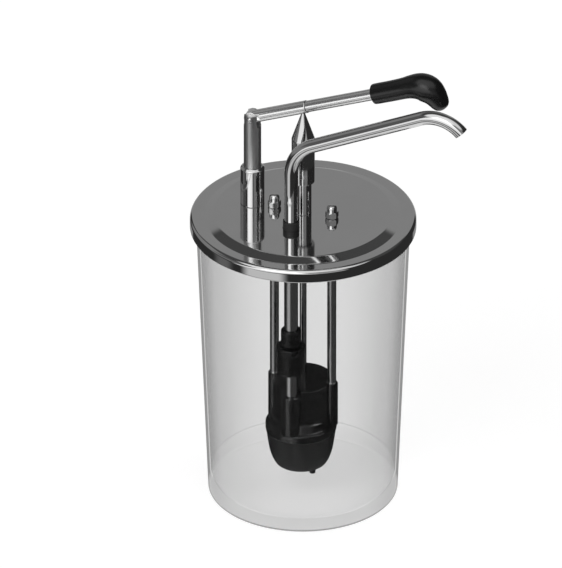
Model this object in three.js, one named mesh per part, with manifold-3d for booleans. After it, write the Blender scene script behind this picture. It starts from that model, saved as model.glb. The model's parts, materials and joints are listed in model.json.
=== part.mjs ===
// A sauce dispenser: a clear container with a steel lid that carries a lever, a spout and a hanging pump.
// Millimetres, +Z up. The origin is the centre of the container's flat underside. The post stands on the
// -X side of the lid, the grip and the outlet are on the +X side, and the riser is on the -Y side.

import * as THREE from 'three';
import { mergeVertices } from 'three/addons/utils/BufferGeometryUtils.js';
import Module from 'manifold-3d';

// Fits that all pieces share
const seatGap = 0.3; // between pieces that rest or butt on each other
const runGap = 0.3; // all round a piece in its bore
const sealFit = 0.1; // round a seal in its groove
const cutOverrun = 1; // how far a cutting solid runs past the face that it opens
const weldDistance = 1e-4; // vertices closer than this are one

// Facets round a circle
const wideSides = 36;
const middleSides = 20;
const smallSides = 12;
const tubeSides = 16;
const sealSides = 6;

// Container
const containerHeight = 266.3;
const containerBaseRadius = 81.6;
const containerFlare = 10.4; // how much wider its top is
const containerWall = 3;
const containerFloor = 8;
const floorFillet = 10;
const footChamfer = 1.2;
const lipReach = 2.2;
const lipHeight = 3.5;

// Lid, a pressed sheet with a raised panel and a hemmed skirt
const lidSheet = 1.2;
const panelRise = 3;
const panelInset = 19; // from the lid's edge to the edge of the panel
const panelStepRun = 8;
const lidEdgeRadius = 3.5;
const lidSkirtHeight = 11.4;
const hemHeight = 3;
const hemClearance = 0.4;

// Pivot post with its sleeve, pin and fastening under the lid
const pivotReach = 46.4; // from the push cap's axis to the post's
const pivotHeight = 84.4; // above the lid's panel
const postRadius = 7.5;
const postTopAbovePivot = 4.2;
const postTopChamfer = 0.6;
const forkSlotWidth = 9.6;
const forkFloorClearance = 0.9;
const pinRadius = 2.5;
const pinStandOut = 0.3;
const pinFit = 0.1;
const sleeveRadius = 10.45;
const sleeveHeight = 34.4;
const sleeveChamfer = 1.2;
const postStudRadius = 5;
const postStudLength = 12.5;
const postNutFlats = 16;
const postNutHeight = 8;
const postWasherRadius = 10;
const washerThickness = 1.6;

// Lever
const leverRise = 22; // degrees above level at rest
const eyeRadius = 7;
const eyeSideGap = 0.25;
const socketRadius = 5.5;
const socketLength = 53.8;
const socketSpigotRadius = 3.2;
const socketSpigotLength = 15;
const tongueLength = 9.5;
const tipSlotDepth = 2.4;
const tipSlotWidth = 5.4;
const tipSlotStart = 43.6;
const tipSlotEnd = 51.4;
const leverRodRadius = 5;
const leverRodLength = 96;
const gripStart = 119.6;
const gripLength = 61.5;
const gripDrop = 24.5;
const gripRadius = 12.1;
const gripSides = 24;
// Shares along the grip, down its bend and of its radius
const gripShares = [
  [0, 0, 0.6], [0.012, 0, 0.68], [0.04, 0, 0.735], [0.3, 0, 0.745], [0.5, -0.01, 0.765], [0.62, -0.015, 0.83],
  [0.73, 0.01, 0.925], [0.81, 0.07, 0.985], [0.875, 0.18, 1], [0.92, 0.32, 0.95], [0.95, 0.48, 0.85],
  [0.968, 0.64, 0.75], [0.98, 0.78, 0.66], [0.987, 0.88, 0.55], [0.992, 0.95, 0.38], [0.995, 0.985, 0.18],
];

// Push cap and guide
const capRadius = 10;
const capBottom = 30.8; // above the lid's panel at rest
const capShoulder = 72.5;
const capCrownThickness = 1;
const capTipRadius = 1.2;
const capTipStart = 18; // degrees, where the cone's flank meets the tip's rounding
const capWall = 2.4;
const rodSocketDepth = 12;
const guideHeight = 43;
const guideRadius = 7.3;
const guideWall = 1.1;
const guideStudRadius = 6;
const guideStudLength = 12;
const guideNutFlats = 18;
const guideNutHeight = 6;
const guideWasherRadius = 10.5;
const bushRadius = 4.3;
const bushFlangeRadius = 5.7;
const bushFlangeThickness = 1.5;
const guideSeatHeight = 1.5; // of the shoulder that the bush hangs on, above the panel

// Return spring round the piston rod
const springWireRadius = 0.75;
const springRadius = 4.6;
const springTurns = 13;
const springEndGap = 0.6; // between each flat end turn and the next
const stepsPerTurn = 8;
const wireSides = 5;

// Spout
const spoutOffset = 28.9; // the riser's distance from the push cap's axis
const spoutRadius = 6;
const spoutWall = 1;
const spoutRise = 75.3; // where the riser's line meets the arm's, above the panel
const spoutIncline = 25.5; // degrees above level
const spoutLowerBend = 35;
const spoutArm = 130.5; // from that meeting point to the start of the outlet's bend
const spoutTipBend = 32;
const spoutTipTurn = 72.5; // degrees
const bendStep = 8; // degrees of bend to a facet
const grommetRadius = 7.05;
const grommetHeight = 7.4;
const grommetNeckWall = 0.8;
const grommetFlangeRadius = 9.5;
const grommetFlangeThickness = 2.5;

// Coupling between the spout's lower end and the pump's outlet pipe
const glandHeight = 15.9; // above the coupling's body
const glandRadius = 8.75;
const glandShankRadius = 7.6;
const glandShankLength = 9;
const glandEdge = 1.2;
const couplingFlangeRadius = 12.6;
const couplingFlangeHeight = 5;
const couplingRadius = 11.5;
const couplingHeight = 27.7;
const couplingFoot = 2.5;
const couplingSealRadius = 0.6;
const spoutInsertion = 15; // below the coupling's top
const couplingWeb = 3;
const pipeShown = 20.4; // of the outlet pipe, from the pump cover's top up to the coupling
const pipeRadius = 5.55;
const pipeWall = 1;
const pipeInsertion = 9;

// Tie rods and their dome nuts
const tieRodReach = 26.3;
const tieRodRadius = 3.9;
const tieStudRadius = 3;
const tieStudInsertion = 12;
const domeNutFlats = 10;
const domeNutHexHeight = 6.2;
const domeNutHeight = 12.2;
const domeRadius = 4.4;
const domeNutThread = 8.5;
const domeArcEnd = 75; // degrees

// Pump
const pumpFloorGap = 14.8; // from the container's floor up to the pump's feet
const bodyHeight = 32; // from the cover's top down to the flare
const flareHeight = 8;
const collarHeight = 6.5;
const coverThickness = 3;
const coverRimDepth = 1.5;
const coverRimWall = 3;
const bodyRadius = 26.5;
const boreRadius = 19;
const lugRadius = 5.4;
const lugRaise = 0.5; // above the cover's top
const bossRadius = 8.2;
const bossDrop = 1.6; // below the cover's top
const collarRadius = 30.6;
const bossFootRadius = 3.95;
const spigotRadius = 22;
const spigotLength = 7;
const pipeSocketDepth = 20;
const outletChamberRadius = 4.8;
const outletChamberDepth = 10;
const outletBallRadius = 4;
const outletSeatRadius = 2.8;
const portRadius = 2.5;
const portRise = 4.6; // of the port's axis above the collar's bottom
const outletSealRadius = 0.65;
const outletSealDepth = 5;
const cageThickness = 2;
const outletCageBore = 3.1;
const cageNotchRadius = 1.2;
const cageNotches = 3;

// Pump base, as shares of its depth below the collar and of the collar's radius
const baseHeight = 32.2;
const baseShares = [[0, 0.985], [0.22, 0.955], [0.62, 0.89], [0.84, 0.815], [0.95, 0.757], [1, 0.72]];
const gasketThickness = 1.2;
const inletChamberRadius = 6;
const inletChamberDepth = 9.2;
const inletCageRadius = 7.6;
const inletCageBore = 3.4;
const inletBallRadius = 4.5;
const inletSeatRadius = 3.2;
const inletSeatThickness = 3;
const suctionRadius = 14.5;
const footRadius = 2.66;
const footHeight = 4.5;
const footCircle = 17.8;
const footAngle = -35.6; // degrees
const footCount = 3;

// Piston
const pistonHeight = 8;
const ringWidth = 2.3;
const ringDepth = 2.1;
const pistonSealRadius = 0.95;
const pistonRodRadius = 3;
const pistonStudRadius = 2.4;
const pistonStudLength = 13.4;
const pistonNutFlats = 8;
const pistonNutHeight = 4;

// Places that follow from the sizes above. Depths count down from the panel's top face.
const radians = THREE.MathUtils.degToRad;
const panelZ = containerHeight + seatGap + lidSheet + panelRise;
const containerTopRadius = containerBaseRadius + containerFlare;
const lipRadius = containerTopRadius + lipReach;
const lidRadius = lipRadius + hemClearance + 2 * lidSheet;
const panelRadius = lidRadius - panelInset;
const underLid = -lidSheet - seatGap;
const forkFloor = pivotHeight - eyeRadius - forkFloorClearance;
const collarBottom = panelZ - containerFloor - pumpFloorGap - footHeight - baseHeight - seatGap;
const collarTop = collarBottom - collarHeight;
const flareTop = collarTop - flareHeight;
const pumpDepth = flareTop - bodyHeight;
const glandDepth = pumpDepth - pipeShown - couplingHeight - glandHeight;
const coverBottom = -pumpDepth - coverThickness;
const housingTop = coverBottom - seatGap;
const pistonTop = housingTop - coverRimDepth - seatGap;
const pistonBottom = pistonTop - pistonHeight;
const spigotEnd = -collarBottom - spigotLength;
const chamberFloor = spigotEnd - 2 * seatGap - gasketThickness;
const collarShift = bodyRadius - collarRadius;
const lugTop = -pumpDepth + lugRaise;
const bossTop = -pumpDepth - bossDrop;
const couplingTop = -glandDepth - glandHeight;
const couplingBottom = couplingTop - couplingHeight;
const spoutEnd = couplingTop - spoutInsertion;
const pipeTop = couplingBottom + pipeInsertion;
const outletShoulder = bossTop - pipeSocketDepth;
const pipeBottom = outletShoulder + cageThickness + 2 * seatGap;
const outletSeat = outletShoulder - outletChamberDepth;
const outletSealCircle = pipeRadius + sealFit + outletSealRadius;
const outletSealZ = bossTop - outletSealDepth;
const grooveReach = outletSealRadius + sealFit;
const portZ = -collarBottom + portRise;
const inletShoulder = chamberFloor - cageThickness - 2 * seatGap;
const inletSeat = inletShoulder - inletChamberDepth;
const springBottom = guideSeatHeight + seatGap + bushFlangeThickness + seatGap + springWireRadius;
const capCeiling = capShoulder - capCrownThickness;
const springTop = capCeiling - seatGap - springWireRadius;
const tipCentreZ = pivotHeight + pivotReach * Math.tan(radians(leverRise))
  - (socketRadius - tipSlotDepth + capTipRadius + seatGap) / Math.cos(radians(leverRise));

// Materials
const finish = (color, metalness, roughness, extra = {}) =>
  new THREE.MeshStandardMaterial({ color, metalness, roughness, ...extra });
const polishedSteel = finish(0xb8babc, 1, 0.08);
const satinSteel = finish(0xa4a6a8, 1, 0.25);
const clearPlastic = finish(0xe4e8ea, 0, 0.05, { transparent: true, opacity: 0.25 });
const blackPlastic = finish(0x17181a, 0, 0.35);
const blackRubber = finish(0x1b1b1c, 0, 0.7);
const whitePlastic = finish(0xe6e5e0, 0, 0.5);

const wasm = await Module();
wasm.setup();

// Geometry to a solid and back, for the joins and cuts
function toSolid(geometry) {
  const bare = new THREE.BufferGeometry();
  bare.setAttribute('position', geometry.getAttribute('position'));
  bare.setIndex(geometry.getIndex());
  const merged = mergeVertices(bare, weldDistance);
  const corners = merged.getIndex().array;
  const kept = [];
  for (let i = 0; i < corners.length; i += 3) {
    const [a, b, c] = [corners[i], corners[i + 1], corners[i + 2]];
    if (a !== b && b !== c && c !== a) kept.push(a, b, c);
  }
  const vertProperties = new Float32Array(merged.getAttribute('position').array);
  return new wasm.Manifold(new wasm.Mesh({ numProp: 3, vertProperties, triVerts: new Uint32Array(kept) }));
}

function toGeometry(solid) {
  const { vertProperties, triVerts } = solid.getMesh();
  const geometry = new THREE.BufferGeometry();
  geometry.setAttribute('position', new THREE.BufferAttribute(new Float32Array(vertProperties), 3));
  geometry.setIndex(new THREE.BufferAttribute(new Uint32Array(triVerts), 1));
  geometry.computeVertexNormals();
  return geometry;
}

const cut = (body, ...tools) => toGeometry(tools.reduce((rest, tool) => rest.subtract(toSolid(tool)), toSolid(body)));
const join = (...bodies) => toGeometry(bodies.map(toSolid).reduce((whole, next) => whole.add(next)));
const common = (a, b) => toGeometry(toSolid(a).intersect(toSolid(b)));

// A turned piece about Z. The profile holds [radius, height] pairs, counter-clockwise with the radius to the right.
function turned(profile, sides = middleSides) {
  const points = profile.map(([radius, height]) => new THREE.Vector2(radius, height));
  return new THREE.LatheGeometry(points, sides).rotateX(Math.PI / 2);
}

const rod = (radius, bottom, top, sides = smallSides) =>
  turned([[0, bottom], [radius, bottom], [radius, top], [0, top]], sides);

const ring = (outer, inner, bottom, top, sides = middleSides) =>
  turned([[inner, bottom], [outer, bottom], [outer, top], [inner, top], [inner, bottom]], sides);

const rodAlongY = (radius, length, sides = smallSides) =>
  rod(radius, -length / 2, length / 2, sides).rotateX(Math.PI / 2);

const rodAlongX = (radius, start, end, sides = middleSides) => rod(radius, start, end, sides).rotateY(Math.PI / 2);

function block(x0, x1, y0, y1, z0, z1) {
  const box = new THREE.BoxGeometry(x1 - x0, y1 - y0, z1 - z0);
  return box.translate((x0 + x1) / 2, (y0 + y1) / 2, (z0 + z1) / 2);
}

function hexagon(acrossFlats, bottom, top) {
  const corner = acrossFlats / 2 / Math.cos(Math.PI / 6);
  return rod(corner, bottom, top, 6);
}

// Points of an arc in the [radius, height] plane, from one angle to another, in degrees
function arc(radius, height, size, from, to, steps) {
  return Array.from({ length: steps + 1 }, (unused, i) => {
    const angle = radians(from + (to - from) * i / steps);
    return [radius + size * Math.cos(angle), height + size * Math.sin(angle)];
  });
}

function sealRing(circle, section, height, sides = middleSides) {
  return turned(arc(circle, height, section, 0, 360, sealSides), sides);
}

function hexNut(acrossFlats, bore, bottom, top) {
  return cut(hexagon(acrossFlats, bottom, top), rod(bore, bottom - cutOverrun, top + cutOverrun));
}

// Container
function makeContainer() {
  const outerAt = (z) => containerBaseRadius + containerFlare * z / containerHeight;
  const filletTop = containerFloor + floorFillet;
  const filletCentre = outerAt(filletTop) - containerWall - floorFillet;
  const lipBottom = containerHeight - lipHeight;
  return turned([
    [0, 0],
    [containerBaseRadius - footChamfer, 0],
    [outerAt(footChamfer), footChamfer],
    [outerAt(lipBottom - lipReach), lipBottom - lipReach],
    [lipRadius, lipBottom],
    [lipRadius, containerHeight],
    [containerTopRadius - containerWall, containerHeight],
    ...arc(filletCentre, filletTop, floorFillet, 0, -90, 4),
    [0, containerFloor],
  ], wideSides);
}

// Lid
function makeLid() {
  const stepEnd = panelRadius + panelStepRun;
  const ringTop = -panelRise;
  const edgeCentre = lidRadius - lidEdgeRadius;
  const skirtBottom = ringTop - lidSkirtHeight;
  const stepShares = [0, 0.25, 0.5, 0.75, 1];
  const slope = (drop) => stepShares.map((share) => [
    panelRadius + panelStepRun * share,
    -drop - panelRise * (1 - Math.cos(Math.PI * share)) / 2,
  ]);
  const sheet = turned([
    [0, -lidSheet],
    ...slope(lidSheet),
    ...arc(edgeCentre, ringTop - lidEdgeRadius, lidEdgeRadius - lidSheet, 90, 0, 3),
    [lidRadius - lidSheet, skirtBottom + hemHeight],
    [lidRadius - 2 * lidSheet, skirtBottom + hemHeight],
    [lidRadius - 2 * lidSheet, skirtBottom],
    [lidRadius, skirtBottom],
    ...arc(edgeCentre, ringTop - lidEdgeRadius, lidEdgeRadius, 0, 90, 4),
    [stepEnd, ringTop],
    ...slope(0).reverse().slice(1),
    [0, 0],
  ], wideSides);
  const hole = (radius, x, y) => rod(radius + runGap, underLid, cutOverrun).translate(x, y, 0);
  return cut(
    sheet,
    hole(postStudRadius, -pivotReach, 0),
    hole(guideStudRadius, 0, 0),
    hole(spoutRadius + runGap + grommetNeckWall, 0, -spoutOffset),
    hole(tieStudRadius, -tieRodReach, 0),
    hole(tieStudRadius, tieRodReach, 0),
  );
}

// Pivot post
function makePivotPost() {
  const top = pivotHeight + postTopAbovePivot;
  const bar = turned([
    [0, -postStudLength],
    [postStudRadius, -postStudLength],
    [postStudRadius, seatGap],
    [postRadius, seatGap],
    [postRadius, top - postTopChamfer],
    [postRadius - postTopChamfer, top],
    [0, top],
  ], middleSides);
  const wide = postRadius + cutOverrun;
  return cut(
    bar,
    block(-wide, wide, -forkSlotWidth / 2, forkSlotWidth / 2, forkFloor, top + cutOverrun),
    rodAlongY(pinRadius + pinFit, 2 * wide).translate(0, 0, pivotHeight),
  );
}

const makePostSleeve = () => turned([
  [postRadius + runGap, seatGap],
  [sleeveRadius, seatGap],
  [sleeveRadius, sleeveHeight - sleeveChamfer],
  [sleeveRadius - sleeveChamfer, sleeveHeight],
  [postRadius + runGap, sleeveHeight],
  [postRadius + runGap, seatGap],
]);

// Lever pieces lie along +X from the pin's axis
function makeLeverSocket() {
  const tongueWidth = forkSlotWidth - 2 * eyeSideGap;
  const long = socketLength + cutOverrun;
  const bar = rodAlongX(socketRadius, 0, socketLength);
  const slab = block(0, tongueLength, -tongueWidth / 2, tongueWidth / 2, -eyeRadius, eyeRadius);
  const shaft = common(bar, join(slab, block(tongueLength - seatGap, long, -long, long, -long, long)));
  const body = join(
    rodAlongY(eyeRadius, tongueWidth, middleSides),
    shaft,
    rodAlongX(socketSpigotRadius, socketLength - cutOverrun, socketLength + socketSpigotLength, smallSides),
  );
  return cut(
    body,
    rodAlongY(pinRadius + runGap, tongueWidth + 2 * cutOverrun),
    block(tipSlotStart, tipSlotEnd, -tipSlotWidth / 2, tipSlotWidth / 2,
      -socketRadius - cutOverrun, -socketRadius + tipSlotDepth),
  );
}

function makeLeverRod() {
  const start = socketLength + seatGap;
  const bore = socketSpigotRadius + runGap;
  return ring(leverRodRadius, bore, start, start + leverRodLength, smallSides).rotateY(Math.PI / 2);
}

// Rings of points about a centre line in the XZ plane, closed at both ends
function loft(stations, sides) {
  const points = [];
  const faces = [];
  stations.forEach(({ x, z, radius, angle }) => {
    for (let i = 0; i < sides; i += 1) {
      const turn = 2 * Math.PI * i / sides;
      const up = radius * Math.cos(turn);
      points.push(x - up * Math.sin(angle), radius * Math.sin(turn), z + up * Math.cos(angle));
    }
  });
  const last = stations.length - 1;
  for (let ringNumber = 0; ringNumber < last; ringNumber += 1) {
    for (let i = 0; i < sides; i += 1) {
      const a = ringNumber * sides + i;
      const b = ringNumber * sides + (i + 1) % sides;
      faces.push(a, a + sides, b, b, a + sides, b + sides);
    }
  }
  points.push(stations[0].x, 0, stations[0].z, stations[last].x, 0, stations[last].z);
  const startHub = stations.length * sides;
  for (let i = 0; i < sides; i += 1) {
    const next = (i + 1) % sides;
    faces.push(startHub, i, next, startHub + 1, last * sides + next, last * sides + i);
  }
  const geometry = new THREE.BufferGeometry();
  geometry.setAttribute('position', new THREE.Float32BufferAttribute(points, 3));
  geometry.setIndex(faces);
  return geometry;
}

function makeLeverGrip() {
  const centres = gripShares.map(([along, drop]) => [gripStart + gripLength * along, -gripDrop * drop]);
  const stations = gripShares.map(([, , radiusShare], i) => {
    const [x0, z0] = centres[Math.max(i - 1, 0)];
    const [x1, z1] = centres[Math.min(i + 1, centres.length - 1)];
    const [x, z] = centres[i];
    return { x, z, radius: gripRadius * radiusShare, angle: Math.atan2(z1 - z0, x1 - x0) };
  });
  const rodEnd = socketLength + 2 * seatGap + leverRodLength;
  return cut(
    loft(stations, gripSides),
    rodAlongX(leverRodRadius + runGap, gripStart - cutOverrun, rodEnd, smallSides),
  );
}

// Push cap
function makePushCap() {
  const bore = capRadius - capWall;
  const rodBore = pistonRodRadius + runGap;
  const tip = arc(0, tipCentreZ, capTipRadius, capTipStart, 90, 3);
  return turned([
    [0, capCeiling + rodSocketDepth],
    [rodBore, capCeiling + rodSocketDepth],
    [rodBore, capCeiling],
    [bore, capCeiling],
    [bore, capBottom],
    [capRadius, capBottom],
    [capRadius, capShoulder],
    ...tip.slice(0, -1),
    [0, tipCentreZ + capTipRadius],
  ]);
}

function makeGuideTube() {
  const bore = guideRadius - guideWall;
  const bushBore = bushRadius + runGap;
  return turned([
    [bushBore, -guideStudLength],
    [guideStudRadius, -guideStudLength],
    [guideStudRadius, seatGap],
    [guideRadius, seatGap],
    [guideRadius, guideHeight],
    [bore, guideHeight],
    [bore, guideSeatHeight],
    [bushBore, guideSeatHeight],
    [bushBore, -guideStudLength],
  ]);
}

function makeGuideBush() {
  const bore = pistonRodRadius + runGap;
  const seat = guideSeatHeight + seatGap;
  return turned([
    [bore, -guideStudLength],
    [bushRadius, -guideStudLength],
    [bushRadius, seat],
    [bushFlangeRadius, seat],
    [bushFlangeRadius, seat + bushFlangeThickness],
    [bore, seat + bushFlangeThickness],
    [bore, -guideStudLength],
  ], smallSides);
}

// A path through given points, with one facet of tube between each two
class PointPath extends THREE.Curve {
  constructor(points) {
    super();
    this.points = points;
  }

  getPoint(t) {
    const place = t * (this.points.length - 1);
    const i = Math.min(Math.floor(place), this.points.length - 2);
    return this.points[i].clone().lerp(this.points[i + 1], place - i);
  }

  getUtoTmapping(u) {
    return u;
  }
}

function tube(points, radius, bore, sides) {
  const circle = (size, path) => path.absarc(0, 0, size, 0, 2 * Math.PI, false);
  const section = circle(radius, new THREE.Shape());
  if (bore > 0) section.holes.push(circle(bore, new THREE.Path()));
  const steps = points.length - 1;
  // a full circle takes two points for each curve segment
  const extrudePath = new PointPath(points);
  return new THREE.ExtrudeGeometry(section, { steps, curveSegments: sides / 2, extrudePath });
}

// Return spring, one wire whose first and last turns lie flat
const springStations = springTurns * stepsPerTurn;

function springPoint(i) {
  const turn = 2 * Math.PI * i / stepsPerTurn;
  const share = THREE.MathUtils.clamp((i - stepsPerTurn) / (springStations - 2 * stepsPerTurn), 0, 1);
  const flat = 2 * springWireRadius + springEndGap;
  const first = Math.min(i / stepsPerTurn, 1) * flat;
  const last = Math.max((i - springStations + stepsPerTurn) / stepsPerTurn, 0) * flat;
  const open = springTop - springBottom - 2 * flat;
  const z = springBottom + first + open * share + last;
  return new THREE.Vector3(springRadius * Math.cos(turn), springRadius * Math.sin(turn), z);
}

function makeReturnSpring() {
  const points = Array.from({ length: springStations + 1 }, (unused, i) => springPoint(i));
  let least = Infinity;
  points.forEach((p, i) => points.slice(i + stepsPerTurn - 1).forEach((q) => {
    least = Math.min(least, p.distanceTo(q) - 2 * springWireRadius);
  }));
  console.log(`return spring: least gap between turns ${least.toFixed(2)} mm`);
  return tube(points, springWireRadius, 0, wireSides);
}

// Spout
function spoutPoints() {
  const incline = radians(spoutIncline);
  const lowerTurn = Math.PI / 2 - incline;
  const tangent = spoutLowerBend * Math.tan(lowerTurn / 2);
  const points = [new THREE.Vector3(0, 0, spoutEnd)];
  const bend = (x, z, radius, from, turn) => {
    const steps = Math.ceil(turn / radians(bendStep));
    for (let i = 0; i <= steps; i += 1) {
      const angle = from - turn * i / steps;
      points.push(new THREE.Vector3(x + radius * Math.cos(angle), 0, z + radius * Math.sin(angle)));
    }
  };
  bend(spoutLowerBend, spoutRise - tangent, spoutLowerBend, Math.PI, lowerTurn);
  const [armX, armZ] = [spoutArm * Math.cos(incline), spoutRise + spoutArm * Math.sin(incline)];
  const centreX = armX + spoutTipBend * Math.sin(incline);
  const centreZ = armZ - spoutTipBend * Math.cos(incline);
  bend(centreX, centreZ, spoutTipBend, incline + Math.PI / 2, radians(spoutTipTurn));
  return points;
}

function makeGrommet() {
  const bore = spoutRadius + runGap;
  const neck = bore + grommetNeckWall;
  const flangeTop = underLid;
  return turned([
    [bore, flangeTop - grommetFlangeThickness],
    [grommetFlangeRadius, flangeTop - grommetFlangeThickness],
    [grommetFlangeRadius, flangeTop],
    [neck, flangeTop],
    [neck, 0],
    [grommetRadius, 0],
    [grommetRadius, grommetHeight],
    [bore, grommetHeight],
    [bore, flangeTop - grommetFlangeThickness],
  ]);
}

// Coupling
const couplingBore = glandShankRadius + runGap;

function makeCouplingGland() {
  const bore = spoutRadius + runGap;
  const shoulder = couplingTop + seatGap;
  const end = shoulder - glandShankLength;
  return turned([
    [bore, end],
    [glandShankRadius, end],
    [glandShankRadius, shoulder],
    [glandRadius, shoulder],
    [glandRadius, -glandDepth - glandEdge],
    [glandRadius - glandEdge, -glandDepth],
    [bore, -glandDepth],
    [bore, end],
  ]);
}

function makeCouplingBody() {
  const pipeBore = pipeRadius + runGap;
  const waterway = pipeRadius - pipeWall;
  const flangeBottom = couplingTop - couplingFlangeHeight;
  const web = spoutEnd - seatGap;
  return turned([
    [pipeBore, couplingBottom],
    [couplingRadius - couplingFoot, couplingBottom],
    [couplingRadius, couplingBottom + couplingFoot],
    [couplingRadius, flangeBottom - (couplingFlangeRadius - couplingRadius)],
    [couplingFlangeRadius, flangeBottom],
    [couplingFlangeRadius, couplingTop],
    [couplingBore, couplingTop],
    [couplingBore, web],
    [waterway, web],
    [waterway, web - couplingWeb],
    [pipeBore, web - couplingWeb],
    [pipeBore, couplingBottom],
  ]);
}

// Tie rods and dome nuts
function makeTieRod() {
  const foot = lugTop + seatGap;
  return turned([
    [0, lugTop - tieStudInsertion],
    [tieStudRadius, lugTop - tieStudInsertion],
    [tieStudRadius, foot],
    [tieRodRadius, foot],
    [tieRodRadius, underLid],
    [tieStudRadius, underLid],
    [tieStudRadius, domeNutThread - seatGap],
    [0, domeNutThread - seatGap],
  ], smallSides);
}

function makeDomeNut() {
  const domeCentre = domeNutHeight - domeRadius;
  const dome = turned([
    [0, seatGap],
    [domeRadius, seatGap],
    ...arc(0, domeCentre, domeRadius, 0, domeArcEnd, 4),
    [0, domeNutHeight],
  ], smallSides);
  const body = join(hexagon(domeNutFlats, seatGap, domeNutHexHeight), dome);
  return cut(body, rod(tieStudRadius + runGap, -cutOverrun, domeNutThread));
}

// Pump housing
function makePumpHousing() {
  const low = -collarBottom;
  const lug = (x) => rod(lugRadius, -collarTop, lugTop, smallSides).translate(x, 0, 0);
  const boss = turned([
    [0, low],
    [bossFootRadius, low],
    [bossRadius, -collarTop],
    [bossRadius, bossTop],
    [0, bossTop],
  ], middleSides).translate(0, -spoutOffset, 0);
  const collar = turned([
    [0, low],
    [collarRadius, low],
    [collarRadius, -collarTop],
    [bodyRadius, -flareTop],
    [0, -flareTop],
  ], wideSides).translate(0, collarShift, 0);
  const body = join(
    rod(bodyRadius, low, housingTop, wideSides),
    rod(spigotRadius, spigotEnd, -flareTop, wideSides),
    lug(-tieRodReach),
    lug(tieRodReach),
    boss,
    collar,
  );
  const studHole = (x) => {
    const hole = rod(tieStudRadius + runGap, lugTop - tieStudInsertion - seatGap, lugTop + cutOverrun);
    return hole.translate(x, 0, 0);
  };
  const onOutlet = (radius, bottom, top) => rod(radius, bottom, top, middleSides).translate(0, -spoutOffset, 0);
  const port = rodAlongY(portRadius, spoutOffset, smallSides).translate(0, -spoutOffset / 2, portZ);
  return cut(
    body,
    rod(boreRadius, spigotEnd - cutOverrun, housingTop + cutOverrun, wideSides),
    studHole(-tieRodReach),
    studHole(tieRodReach),
    onOutlet(pipeRadius + runGap, outletShoulder, bossTop + cutOverrun),
    onOutlet(outletSealCircle + grooveReach, outletSealZ - grooveReach, outletSealZ + grooveReach),
    onOutlet(outletChamberRadius, outletSeat, outletShoulder + cutOverrun),
    onOutlet(outletSeatRadius, portZ, outletSeat + cutOverrun),
    port,
  );
}

function makePumpCover() {
  const rim = boreRadius - runGap;
  const disc = turned([
    [pistonRodRadius + runGap, coverBottom],
    [rim - coverRimWall, coverBottom],
    [rim - coverRimWall, housingTop - coverRimDepth],
    [rim, housingTop - coverRimDepth],
    [rim, coverBottom],
    [bodyRadius, coverBottom],
    [bodyRadius, -pumpDepth],
    [pistonRodRadius + runGap, -pumpDepth],
    [pistonRodRadius + runGap, coverBottom],
  ], wideSides);
  const clear = (radius, x, y) =>
    rod(radius + runGap, coverBottom - cutOverrun, cutOverrun - pumpDepth, smallSides).translate(x, y, 0);
  return cut(
    disc,
    clear(lugRadius, -tieRodReach, 0),
    clear(lugRadius, tieRodReach, 0),
    clear(bossRadius, 0, -spoutOffset),
  );
}

function makePumpBase() {
  const top = -collarBottom - seatGap;
  const bottom = top - baseHeight;
  const outline = baseShares.map(([depth, radius]) => [collarRadius * radius, top - baseHeight * depth]);
  const shell = turned([[0, bottom], ...outline.reverse(), [0, top]], wideSides).translate(0, collarShift, 0);
  const feet = Array.from({ length: footCount }, (unused, i) => {
    const angle = radians(footAngle) + 2 * Math.PI * i / footCount;
    return rod(footRadius, bottom - footHeight, bottom + cutOverrun, smallSides)
      .translate(footCircle * Math.cos(angle), footCircle * Math.sin(angle) + collarShift, 0);
  });
  return cut(
    join(shell, ...feet),
    rod(spigotRadius + runGap, chamberFloor, top + cutOverrun, wideSides),
    rod(inletCageRadius + runGap, inletShoulder, chamberFloor + cutOverrun, middleSides),
    rod(inletChamberRadius, inletSeat, inletShoulder + cutOverrun, middleSides),
    rod(inletSeatRadius, inletSeat - inletSeatThickness - cutOverrun, inletSeat + cutOverrun),
    rod(suctionRadius, bottom - cutOverrun, inletSeat - inletSeatThickness, middleSides).translate(0, collarShift, 0),
  );
}

// A cage that lets the sauce past the ball that it stops
function makeCage(radius, bore, bottom) {
  const plate = ring(radius, bore, bottom, bottom + cageThickness, smallSides);
  const notches = Array.from({ length: cageNotches }, (unused, i) => {
    const angle = 2 * Math.PI * i / cageNotches;
    return rod(cageNotchRadius, bottom - cutOverrun, bottom + cageThickness + cutOverrun, smallSides)
      .translate(bore * Math.cos(angle), bore * Math.sin(angle), 0);
  });
  return cut(plate, ...notches);
}

function makeBall(radius, seatRadius, seatZ) {
  const centre = seatZ + Math.sqrt(radius ** 2 - seatRadius ** 2) + seatGap;
  return new THREE.SphereGeometry(radius, tubeSides, tubeSides / 2).rotateX(Math.PI / 2).translate(0, 0, centre);
}

// Piston
const ringLand = (pistonHeight - 2 * ringWidth) / 3;
const pistonRadius = boreRadius - runGap;

function makePiston() {
  const bore = pistonStudRadius + runGap;
  const floor = pistonRadius - ringDepth;
  const z = (lands, grooves) => pistonBottom + lands * ringLand + grooves * ringWidth;
  return turned([
    [bore, pistonBottom],
    [pistonRadius, pistonBottom],
    [pistonRadius, z(1, 0)],
    [floor, z(1, 0)],
    [floor, z(1, 1)],
    [pistonRadius, z(1, 1)],
    [pistonRadius, z(2, 1)],
    [floor, z(2, 1)],
    [floor, z(2, 2)],
    [pistonRadius, z(2, 2)],
    [pistonRadius, pistonTop],
    [bore, pistonTop],
    [bore, pistonBottom],
  ], wideSides);
}

function makePistonSeal(lands, grooves) {
  const height = pistonBottom + lands * ringLand + (grooves + 0.5) * ringWidth;
  return sealRing(pistonRadius - ringDepth + seatGap / 2 + pistonSealRadius, pistonSealRadius, height, wideSides);
}

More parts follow.
